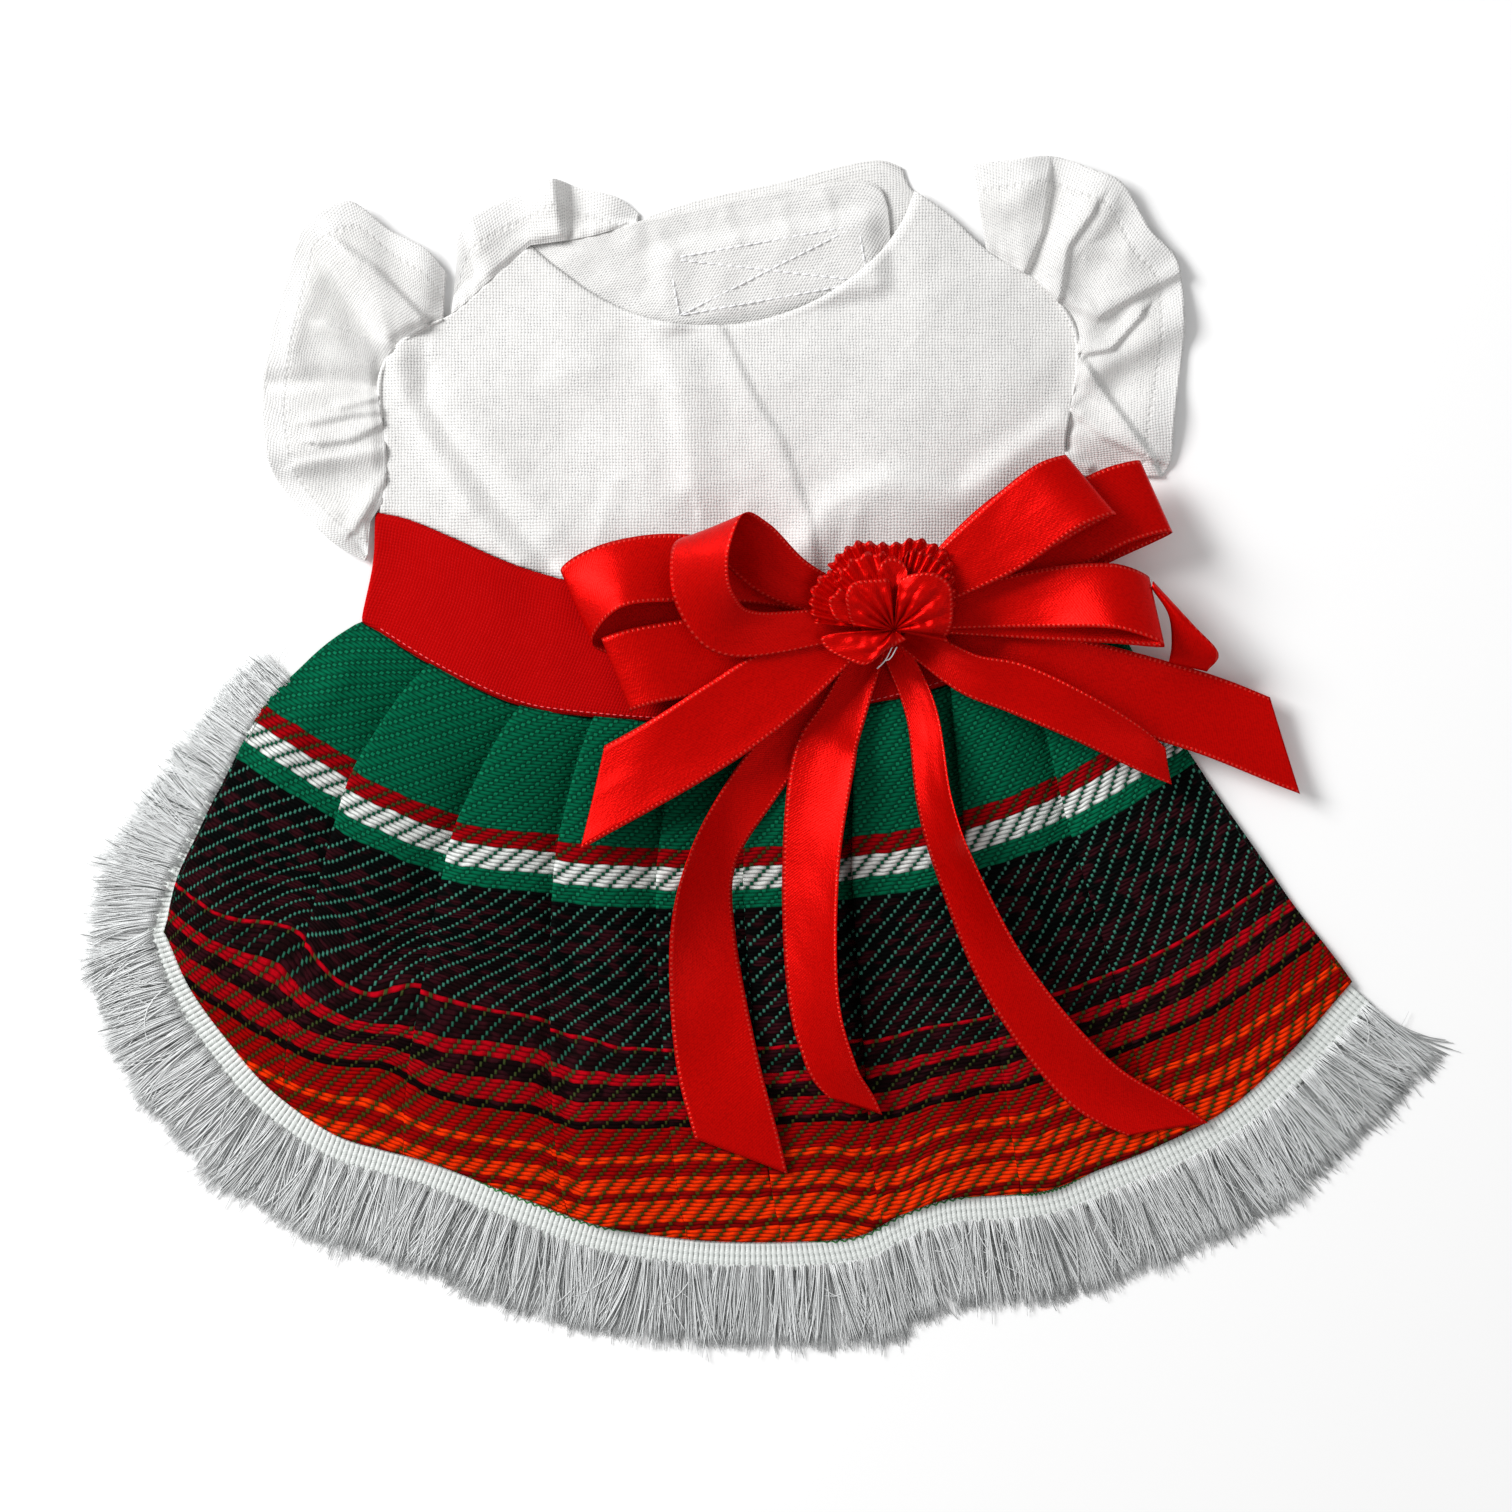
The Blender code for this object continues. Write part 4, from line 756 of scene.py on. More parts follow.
inset = TAPE_CORNERS + (TAPE_CORNERS.mean(axis=0) - TAPE_CORNERS) * 0.06
box_runs = [inset[[0, 1]], inset[[1, 2]], inset[[2, 3]], inset[[3, 0]], inset[[0, 2]], inset[[3, 1]]]


def on_flap(points):
    """Points along a straight run, set on top of the left flap."""
    row = along(points, np.linspace(0, 1, 60))[None]
    return np.dstack([row, flap_height(row) + COTTON_THICK / 2 + 0.05])[0]


runs, radii = stitches([on_flap(r) for r in box_runs], 3.0, 2.4, 0.3, 0.1)
points, faces = tubes(runs, radii, 6)
pieces["tape_stitches"] = mesh_piece("tape_stitches", points, faces, white_thread,
                                     np.zeros((len(points), 3)))
print("stitches in the box:", len(runs))

# %% [markdown]
# ## Ruffle sleeves
# Each sleeve is a strip of cotton, gathered along the armhole and hemmed along its free edge. The
# gathers start as sharp pleats at the seam, fan out, and flatten towards the hem. The plan runs
# from the seam to the free edge; each pleat is a ridge between a share of the one and of the other.

# %% Outlines and gathers of the sleeves
RUFFLE_LEFT_EDGE = (
    (-98.4, 151.9), (-105.4, 159.5), (-116.8, 165.5), (-125.6, 172.8), (-131.3, 174.1),
    (-143.0, 168.7), (-145.9, 161.4), (-150.9, 144.3), (-154.4, 131.3), (-157.0, 110.1),
    (-153.5, 88.9), (-139.9, 71.8), (-131.6, 64.6), (-123.8, 60.5),
)
RUFFLE_RIGHT_EDGE = (
    (68.4, 186.0), (79.7, 187.3), (94.0, 188.6), (107.0, 184.2), (116.1, 179.7), (124.4, 165.5),
    (133.2, 155.4), (135.4, 136.4), (134.5, 124.1), (132.3, 106.0), (131.3, 93.0), (128.5, 87.3),
)
RUFFLE_BACK_EDGE = (
    (-95.4, 152.5), (-94.2, 164.6), (-86.7, 171.5), (-70.6, 178.8), (-64.6, 181.3), (-56.3, 178.8),
    (-44.3, 175.6), (-37.3, 170.4),
)
RUFFLE_BELOW_WAIST = ((-122.4, 73.0), (-123.3, 62.5))

# Each row: share of the seam, share of the free edge, height, width before it and after it
GATHERS_LEFT = (
    (0.08, 0.05, 4.0, 0.05, 0.07), (0.20, 0.27, 6.5, 0.10, 0.03), (0.36, 0.45, 4.5, 0.07, 0.06),
    (0.50, 0.57, 3.5, 0.04, 0.06), (0.66, 0.72, 5.0, 0.06, 0.04), (0.84, 0.90, 4.0, 0.05, 0.08),
)
GATHERS_RIGHT = (
    (0.12, 0.10, 4.5, 0.09, 0.05), (0.27, 0.30, 5.0, 0.06, 0.08), (0.47, 0.47, 4.5, 0.06, 0.06),
    (0.64, 0.66, 4.5, 0.06, 0.04), (0.86, 0.88, 4.0, 0.08, 0.05),
)
GATHERS_BACK = ((0.30, 0.20, 4.5, 0.07, 0.12), (0.62, 0.60, 5.5, 0.10, 0.03), (0.88, 0.85, 2.0, 0.08, 0.08))

# Sharp creases in plan: points of the line, height, width on its left and on its right
CREASES_LEFT = (
    (((-105.7, 136.4), (-122.0, 153.0), (-141.5, 166.8)), 2.4, 7.0, 1.2),
    (((-115.5, 128.2), (-136.7, 135.4)), 1.5, 4.0, 1.0),
    (((-119.8, 116.1), (-138.0, 117.5), (-155.0, 116.1)), -2.2, 2.0, 4.0),
    (((-118.7, 108.0), (-129.0, 107.0), (-141.8, 104.0)), 1.2, 1.0, 3.0),
    (((-118.7, 104.0), (-129.0, 99.0), (-138.8, 97.9)), 1.6, 1.0, 4.0),
    (((-117.7, 95.9), (-145.9, 90.8)), 1.2, 3.0, 1.5), (((-120.0, 112.0), (-132.0, 109.0)), 1.0, 0.8, 2.0),
    (((-118.0, 86.7), (-127.8, 70.6)), 1.2, 1.2, 3.0), (((-140.0, 150.0), (-148.0, 128.0)), 0.9, 4.0, 4.0),
)
CREASES_RIGHT = (
    (((92.1, 179.7), (90.0, 165.0), (84.5, 152.0)), 2.0, 1.0, 6.0),
    (((105.7, 170.6), (98.0, 160.0), (95.6, 144.3)), 2.0, 1.0, 6.0),
    (((93.0, 145.0), (108.0, 138.0), (118.0, 144.0), (134.0, 152.0)), 2.0, 4.0, 1.2),
    (((103.5, 126.3), (112.0, 128.0), (121.2, 138.3)), 2.0, 4.0, 1.0),
    (((102.5, 124.1), (112.0, 110.0), (125.3, 91.8)), 2.2, 1.2, 5.0),
    (((100.0, 108.4), (110.0, 100.0), (125.3, 93.0)), 1.8, 4.0, 1.0),
    (((97.0, 94.0), (105.0, 90.0)), 1.5, 1.5, 1.5),
    (((66.0, 176.0), (78.0, 172.0), (88.0, 180.0)), 0.9, 4.0, 4.0),
    (((112.0, 172.0), (104.0, 160.0), (116.0, 158.0)), 1.2, 3.0, 4.0),
)
CREASES_BACK = (
    (((-60.4, 178.8), (-60.0, 165.5)), 1.6, 0.8, 6.0), (((-93.0, 166.0), (-90.0, 152.0)), -1.8, 2.0, 3.0),
)

# %% Make the sleeves


def gather(plan, u, v, folds, creases, seam_level):
    """Height of a sleeve: its seam's level, ridges that fan out from the seam, sharp creases."""
    height = ON_FLOOR + (seam_level - ON_FLOOR) * smoothstep(0.45, 0.0, v)
    for at_seam, at_edge, high, before, after in folds:
        off = u - (at_seam + (at_edge - at_seam) * v)
        rise = np.sin(np.pi * np.clip(v * 0.62 + 0.06, 0, 1)) * smoothstep(0.0, 0.12, v)
        height = height + high * rise * np.exp(-(off / (1.3 * np.where(off < 0, before, after))) ** 2)
    for points, high, left_wide, right_wide in creases:
        height = height + ridge(plan, points, high, left_wide, right_wide)
    tucks = smoothstep(0.3, 0.02, v) * np.sin(2 * np.pi * 11 * u + 4 * np.sin(7 * u))
    height = height + 0.16 * tucks + rumple(plan, 16.0, 0.3, 11)
    return np.maximum(height, ON_FLOOR)


def make_ruffle(name, node, seam, edge, folds, creases, cells):
    """Sleeve as a patch from its seam to its free edge; the edge value is the distance to the hem."""
    seam, edge = np.asarray(seam)[:, :2], np.asarray(edge)
    rim = smooth_rows(edge, np.linspace(0, 1, 200))
    starts, ends = line([seam[0], rim[0]]), line([seam[-1], rim[-1]])
    u, v = np.meshgrid(np.linspace(0, 1, cells[0]), np.linspace(0, 1, cells[1]))
    plan = patch(line(seam), line(rim), starts, ends)(u, v)
    height = gather(plan, u, v, folds, creases, ONE_LAYER + 0.4)
    grid = np.dstack([plan, height])
    depth = np.linalg.norm(plan - plan[-1:], axis=2)
    lengths = grid_lengths(grid)
    rim_length = np.broadcast_to(lengths[-1:, :, 0], depth.shape)
    lengths[..., 0] = rim_length
    lengths[..., 2] = depth
    return cloth_piece(name, grid, white_cotton, COTTON_THICK, lengths, node), grid


def side_part(rows, start, stop):
    """Part of a border curve between two shares of its length."""
    return smooth_rows(rows, np.linspace(start, stop, 60))


left_seam = np.vstack([sideways(side_part(BODICE_LEFT, 0.335, 0.97), 0.4), RUFFLE_BELOW_WAIST])
right_seam = sideways(side_part(BODICE_RIGHT, 0.25, 0.96), -0.4)
back_seam = np.vstack([side_part(BODICE_LEFT, 0.305, 0.0)[:, :2],
                       smooth_rows(FLAP_LEFT_TOP, np.linspace(0.02, 0.29, 20))])
pieces["ruffle_left"], ruffle_left = make_ruffle(
    "ruffle_left_cloth", "ruffle_left", left_seam, RUFFLE_LEFT_EDGE, GATHERS_LEFT, CREASES_LEFT, (230, 48))
pieces["ruffle_right"], ruffle_right = make_ruffle(
    "ruffle_right_cloth", "ruffle_right", right_seam, RUFFLE_RIGHT_EDGE, GATHERS_RIGHT, CREASES_RIGHT,
    (230, 48))
pieces["ruffle_left_back"], ruffle_back = make_ruffle(
    "ruffle_left_back_cloth", "ruffle_left_back", back_seam, RUFFLE_BACK_EDGE, GATHERS_BACK,
    CREASES_BACK, (120, 40))

seam_rolls = []
for side, stop, off in ((BODICE_LEFT, 0.72, 0.3), (BODICE_RIGHT, 0.75, -0.3)):
    route = sideways(side_part(side, 0.335, stop), off)
    seam_rolls.append(np.column_stack([route, np.full(len(route), ONE_LAYER + 1.0)]))
points, faces = tubes(np.array(seam_rolls), 0.75 * np.sin(np.linspace(0.15, np.pi - 0.15, 60)) ** 0.4, 8)
pieces["armhole_rolls"] = mesh_piece("armhole_rolls", points, faces, white_cotton,
                                     np.column_stack([points[:, :2], np.full(len(points), 99.0)]))
print("sleeves", ruffle_left.shape, ruffle_right.shape, ruffle_back.shape)

# %% [markdown]
# ## Turned sides
# Waistband and skirt go round the body, so on the flat dress both turn under at their sides. The
# upper face goes on round a half circle and a short way back beneath.

# %% Turn a side under


def turned_under(plan_at, upper, v, back_share):
    """Grid with both sides turned under: a half circle out from the edge, then a strip on the floor."""
    turn = np.radians(np.linspace(15.0, 165.0, 6))
    shares = np.linspace(0.0, back_share, 5)
    parts = []
    for end, sign in ((0.0, 1.0), (1.0, -1.0)):
        rim = upper[:, 0] if end == 0.0 else upper[:, -1]
        outward = rim[:, :2] - plan_at(np.full(v.shape, end + sign * 0.01), v)
        outward /= np.linalg.norm(outward, axis=1)[:, None]
        radius = (rim[:, 2] - ON_FLOOR) / 2
        round_part = np.stack([np.column_stack([
            rim[:, :2] + outward * (radius * math.sin(a))[:, None],
            ON_FLOOR + radius * (1 + math.cos(a))]) for a in turn], axis=1)
        flat = np.stack([np.column_stack([plan_at(np.full(v.shape, end + sign * s), v),
                                          np.full(v.shape, ON_FLOOR)]) for s in shares], axis=1)
        strip = np.concatenate([round_part, flat], axis=1)
        parts.append(strip[:, ::-1] if end == 0.0 else strip)
    return np.concatenate([parts[0], upper, parts[1]], axis=1)


# %% [markdown]
# ## Waistband
# The band is a straight strip of red cotton, folded double and sewn between bodice and skirt. It
# lies smooth, with a rolled edge along both seams.

# %% Waistband
WAIST_LOW = (
    (-124.4, 40.8), (-104.4, 28.2), (-87.0, 19.3), (-74.7, 14.6), (-63.0, 12.3), (-36.4, 9.8),
    (-18.0, 9.5), (7.3, 10.8), (35.8, 14.9), (63.0, 22.5), (87.0, 33.5), (108.5, 48.1),
)
WAIST_LEFT = ((-119.6, 75.6), (-120.5, 60.0), (-124.4, 40.8))
WAIST_RIGHT = ((100.9, 82.9), (106.0, 66.0), (108.5, 48.1))
band_plan = patch(curve(WAIST_TOP), curve(WAIST_LOW), curve(WAIST_LEFT), curve(WAIST_RIGHT))
u, v = np.meshgrid(np.linspace(0, 1, 200), np.linspace(0, 1, 26))
plan = band_plan(u, v)
inside = smoothstep(0.0, 0.15, u) * smoothstep(1.0, 0.85, u)
height = ONE_LAYER + 0.7 + 2.6 * inside + rumple(plan, 26.0, 0.35, 21)
height = height - 0.8 * smoothstep(0.05, 0.0, v) - 0.8 * smoothstep(0.95, 1.0, v)
band_upper = np.dstack([plan, height])
band_grid = turned_under(band_plan, band_upper, v[:, 0], 0.42)
pieces["waistband"] = cloth_piece("waistband_cloth", band_grid, red_cotton, COTTON_THICK,
                                  grid_lengths(band_grid), "waistband")
print("waistband", band_grid.shape)

# %% [markdown]
# ## Skirt
# The skirt is one long strip of serape cloth, pleated into the waistband. Each gore between two
# pleats is high along its left side, where it lies over its neighbour, and runs down to the right,
# where it goes under the next one. A pleat is an S in the cloth: the plan share goes forward, back
# and forward again while the height climbs, so the fold really overlaps. The stripes keep their
# distance from the waist and step at each pleat, because the hidden part of the fold runs askew.

# %% Outlines and pleats of the skirt
SKIRT_LEFT = (
    (-124.4, 40.8), (-133.5, 34.8), (-144.6, 25.3), (-153.5, 16.5), (-162.0, 2.2),
    (-169.3, -12.0), (-176.3, -26.3), (-182.6, -40.5), (-187.3, -57.9),
)
SKIRT_RIGHT = (
    (108.5, 48.1), (118.0, 30.7), (133.9, 2.2), (149.7, -21.5), (168.7, -48.4), (187.7, -73.7),
)
HEM = (
    (-187.3, -57.9), (-179.4, -75.3), (-166.8, -92.7), (-154.1, -107.0), (-135.1, -120.6),
    (-119.3, -125.9), (-103.5, -130.1), (-75.0, -141.1), (-49.7, -150.0), (-18.0, -154.7),
    (13.6, -155.1), (32.6, -153.2), (45.3, -146.8), (61.1, -141.5), (76.9, -140.5), (92.7, -138.6),
    (108.5, -132.3), (127.5, -124.7), (149.7, -112.7), (168.7, -95.3), (187.7, -73.7),
)

# Each row: x at the waist, x at the hem, height at the hip and at the hem, overlap at the hip and
# at the hem, step of the stripes at the hip and at the hem
PLEATS = (
    (-103.0, -150.0, 8.0, 1.0, 2.5, -2.0, -4.4, -1.0),
    (-74.0, -112.0, 8.5, 1.4, 2.5, -1.5, -2.8, -1.0),
    (-51.0, -60.0, 8.5, 3.0, 1.5, 0.8, -2.0, -4.0),
    (-24.0, -22.0, 6.0, 1.6, 0.8, -1.5, -0.5, 0.0),
    (0.0, 8.0, 6.0, 1.6, 1.0, -1.5, 0.6, 0.0),
    (32.0, 40.0, 8.0, 3.2, 1.5, 0.8, 2.0, -2.0),
    (62.0, 84.0, 8.0, 2.2, 2.0, -1.5, 2.0, 0.5),
    (86.0, 128.0, 7.0, 1.4, 2.0, -1.8, -1.3, 0.5),
)
FOLD_HALF = 0.0075

# Where sagging cloth carries the stripes off the chart: x, y, by how much, over what distance
STRIPE_BENDS = (
    (-146.0, -56.0, 9.0, 17.0), (-106.0, -70.0, 8.0, 15.0), (-82.0, -80.0, 6.0, 20.0),
    (-58.0, -88.0, 3.0, 14.0), (-122.0, -84.0, -2.0, 10.0), (-118.0, -100.0, 4.0, 14.0),
)

# Creases of the lower skirt: points of the line, height, width on its left and on its right
SKIRT_CREASES = (
    (((-57.0, -50.0), (-61.1, -119.0), (-56.0, -145.0)), -1.6, 3.5, 6.0),
    (((42.4, -113.3), (43.5, -128.0), (46.0, -144.0)), -1.8, 3.0, 5.0),
    (((54.1, -93.7), (60.0, -108.0), (66.1, -123.7)), 1.6, 6.0, 5.0),
    (((-118.0, -74.0), (-104.0, -92.0), (-92.0, -118.0)), 1.8, 9.0, 8.0),
    (((-100.0, -35.0), (-118.0, -70.0)), -2.0, 7.0, 8.0),
    (((100.0, -20.0), (92.0, -50.0), (104.0, -80.0)), -1.5, 8.0, 8.0),
)


def skirt_share(t, v):
    """Plan share of each cloth share t: pleat lines drift from waist to hem, and each fold doubles back."""
    waist_line, hem_line = (smooth_rows(rows, np.linspace(0, 1, 300)) for rows in (WAIST_LOW, HEM))
    at = []
    for row, column in ((waist_line, 0), (hem_line, 1)):
        share = lengths_along(row) / lengths_along(row)[-1]
        at.append(np.concatenate([[0.0], np.interp([p[column] for p in PLEATS], row[:, 0], share), [1.0]]))
    knots = (at[0] + at[1]) / 2
    share = (1 - v) * np.interp(t, knots, at[0]) + v * np.interp(t, knots, at[1])
    spread = lengths_along(waist_line)[-1] * (1 - v) + lengths_along(hem_line)[-1] * v
    for knot, pleat in zip(knots[1:-1], PLEATS):
        overlap = (pleat[4] + (pleat[5] - pleat[4]) * smoothstep(0.2, 1.0, v)) * smoothstep(-0.1, 0.15, v)
        reach = np.maximum((overlap / spread + FOLD_HALF) / 2, 0.0) * smoothstep(1.0, 0.94, v)
        q = (t - knot) / FOLD_HALF
        share = share - reach * np.sin(np.pi * np.clip(q, -1, 1))
    return share, knots


def skirt_height(plan, t, v, knots):
    """Side and waist raised on the layer below; each gore high on its left and falling to its right."""
    side = np.maximum(smoothstep(0.075, 0.03, t), smoothstep(0.925, 0.97, t))
    waist_part = 1.0 - 0.9 * smoothstep(0.0, 0.2, v)
    height = ON_FLOOR + (ONE_LAYER + 0.3 - ON_FLOOR) * np.maximum(side, waist_part)
    highs = [(3.0, 1.0)] + [(p[2], p[3]) for p in PLEATS]
    for k, (hip, hem) in enumerate(highs):
        share = np.clip((t - knots[k]) / (knots[k + 1] - knots[k]), 0.0, 1.0)
        climb = smoothstep(-0.6, 0.6, (t - knots[k]) / FOLD_HALF) if k else 1.0
        high = hip * smoothstep(-0.18, 0.22, v) + (hem - hip) * smoothstep(0.22, 1.0, v)
        inside = smoothstep(0.0, 0.06, t) * smoothstep(1.0, 0.94, t)
        height = height + high * climb * (1 - share ** 1.9) * inside
    for points, high, left_wide, right_wide in SKIRT_CREASES:
        height = height + ridge(plan, points, high, left_wide, right_wide) * smoothstep(0.1, 0.3, v)
    height = height + rumple(plan, 30.0, 0.7, 31) * smoothstep(0.0, 0.2, v) - 0.9 * smoothstep(0.02, 0.0, v)
    return np.maximum(height, ON_FLOOR + 0.2 + 1.35 * smoothstep(0.93, 0.985, v))


# %% Make the skirt
skirt_patch = patch(curve(WAIST_LOW), curve(HEM), curve(SKIRT_LEFT), curve(SKIRT_RIGHT))
even = np.linspace(0, 1, 250)
knots = skirt_share(np.zeros(1), np.zeros(1))[1]
dense = (knots[1:-1, None] + np.linspace(-1.1, 1.1, 12) * FOLD_HALF).ravel()
t_line = np.unique(np.round(np.concatenate([even, dense]), 5))
t, v = np.meshgrid(t_line, np.linspace(0, 1, 104))
share, knots = skirt_share(t, v)
plan = skirt_patch(share, v)
skirt_upper = np.dstack([plan, skirt_height(plan, t, v, knots)])
skirt_grid = turned_under(skirt_patch, skirt_upper, v[:, 0], 0.045)
skirt_lengths = grid_lengths(skirt_grid)

straight = skirt_patch((t - t[:, :1]) / (t[:, -1:] - t[:, :1]), v)
down = np.linalg.norm(np.diff(straight, axis=0, prepend=straight[:1]), axis=2).cumsum(axis=0)
jumps = np.array([(0.0, 0.0)] + [(p[6], p[7]) for p in PLEATS] + [(0.0, 0.0)])


def stripe_steps(places, depth):
    """Sawtooth of the stripes: half a step up after each fold line, half a step down before the next."""
    gore = np.clip(np.searchsorted(knots, places, side="right") - 1, 0, len(knots) - 2)
    within = (places - knots[gore]) / (knots[gore + 1] - knots[gore])
    start = jumps[gore, 0] * (1 - depth) + jumps[gore, 1] * depth
    end = jumps[gore + 1, 0] * (1 - depth) + jumps[gore + 1, 1] * depth
    return 0.5 * start * (1 - within) - 0.5 * end * within


sharp = stripe_steps(t_line, v[:, :1])
soft = np.mean([stripe_steps(t_line + d, v[:, :1]) for d in np.linspace(-0.014, 0.014, 9)], axis=0)
near_hem = smoothstep(0.55, 0.8, v)
down = down + (sharp * (1 - near_hem) + soft * near_hem) * smoothstep(0.0, 0.15, v)
gore = np.clip(np.searchsorted(knots, t_line, side="right") - 1, 0, len(knots) - 2)
for x, y, shift, size in STRIPE_BENDS:
    down = down + shift * np.exp(-((plan[..., 0] - x) ** 2 + (plan[..., 1] - y) ** 2) / size ** 2)

pad = (skirt_grid.shape[1] - skirt_upper.shape[1]) // 2
skirt_lengths[:, pad:-pad, 1] = down
skirt_lengths[:, :pad, 1] = down[:, :1]
skirt_lengths[:, -pad:, 1] = down[:, -1:]
middles = np.array([np.abs(t_line - m).argmin() for m in (knots[1:] + knots[:-1]) / 2])
across = skirt_lengths[:, pad:-pad, 0]
origin = across[:, middles][:, gore]
skirt_lengths[:, pad:-pad, 0] = across - origin + gore * 41.3
skirt_lengths[:, :pad, 0] += skirt_lengths[:, pad:pad + 1, 0] - across[:, :1]
skirt_lengths[:, -pad:, 0] += skirt_lengths[:, -pad - 1:-pad, 0] - across[:, -1:]
pieces["skirt"] = cloth_piece("skirt_cloth", skirt_grid, serape_cloth, SERAPE_THICK,
                              skirt_lengths, "skirt")
print("skirt", skirt_grid.shape, "stripe chart up to", round(float(down.max()), 1), "mm")

# %% [markdown]
# ## Fringe
# The fringe is sewn under the hem. Its header is a narrow woven band of pairs of cords that turn
# back in loops along its upper edge, tied by cross threads. Below it the same cords open into
# strands. On the left it runs on up the side, where the skirt is folded under.
#
# The header is a wall with one round ridge for each cord. The strands are thin three-sided tubes
# in two layers; their lean and length change slowly from lock to lock, with a little chance.

# %% Route of the fringe
# Each row: share of the route, width of the header, reach of the strands
FRINGE_WIDTHS = (
    (0.00, 3.0, 14.0), (0.09, 4.0, 22.0), (0.17, 6.0, 27.0), (0.24, 8.5, 33.0),
    (0.45, 9.2, 34.0), (0.60, 9.2, 33.0), (0.80, 9.2, 35.0), (1.00, 9.5, 36.0),
)
FRINGE_START = 0.24
CORD_MM = 1.6

first = int(round(FRINGE_START * (len(skirt_upper) - 1)))
side = skirt_upper[first:, 0]
out_of_side = side[:, :2] - skirt_upper[first:, 8, :2]
out_of_side /= np.linalg.norm(out_of_side, axis=1)[:, None]
tucked = ((side[:, 2] - ON_FLOOR) / 2 - 1.8 * smoothstep(1.0, 0.8, np.linspace(0, 1, len(side))))
side_line = side[:, :2] + out_of_side * tucked[:, None]
hem_line = smooth_rows(HEM, np.linspace(0, 1, 300))[1:, :2]
route = np.vstack([side_line, hem_line])
route_mm = lengths_along(route)[-1]


def fringe_place(parts):
    """Point of the route, outward direction, header width and strand reach at shares of the route."""
    parts = np.asarray(parts, float)
    coarse = along(route, np.linspace(0, 1, 14))
    ahead, behind = (smooth_rows(coarse, np.clip(parts + s, 0, 1)) for s in (0.004, -0.004))
    run = ahead - behind
    run /= np.linalg.norm(run, axis=-1)[..., None]
    outward = np.stack([run[..., 1], -run[..., 0]], axis=-1)
    table = np.array(FRINGE_WIDTHS)
    widths = [np.interp(parts, table[:, 0], table[:, k]) for k in (1, 2)]
    return along(route, parts), outward, widths[0], widths[1]


# %% Header
cords = int(route_mm / CORD_MM)
parts = np.linspace(0, 1, cords * 5 + 1)
root, outward, header, reach = fringe_place(parts)
w = np.linspace(0, 1, 15)[:, None]
cord_wave = np.abs(np.sin(np.pi * parts * cords))[None, :]
loop_top = 0.9 * np.abs(np.sin(np.pi * parts * cords / 2))[None, :] * (w < 0.05)
inner = -0.6 - loop_top
depth = inner + (header[None, :] - inner) * w
plan = root[None] + outward[None] * depth[..., None]
ties = sum(np.exp(-((depth - place) / 0.45) ** 2) for place in (0.8, 3.6, 6.0, 8.2))
height = 0.9 + 0.4 * cord_wave * (1 - 0.6 * ties) + 0.45 * ties - 0.3 * (w < 0.05)
header_grid = np.dstack([plan, height])
lengths = grid_lengths(header_grid)
# Colour share of the header, higher being greyer. Painted shade darkens the grooves between cords, in
# patches along the route, and lightens them on the cross ties. The band is also darker along its outer edge.
patchy = 0.5 + 0.5 * np.sin(parts * cords * 0.37) * np.sin(parts * cords * 1.9)
lengths[..., 0] = np.clip(0.06 + (0.65 + 0.35 * patchy) * (1 - cord_wave) ** 2 * (1 - 0.8 * ties)
                          + 0.25 * (w > 0.9), 0, 1)
fringe_header = cloth_piece("fringe_header", header_grid[:, ::-1], header_cord, 0.7, lengths[:, ::-1],
                            "fringe")
pieces["fringe_header"] = fringe_header
print("fringe", round(route_mm), "mm along,", cords, "cords")

# %% Strands
chance = np.random.default_rng(7)


def slow(parts, size, seed):
    """Slowly changing value along the route: interpolated random numbers, one for each lock."""
    knots = np.random.default_rng(seed).uniform(-1, 1, int(route_mm / size) + 2)
    return np.interp(parts, np.linspace(0, 1, len(knots)), knots)


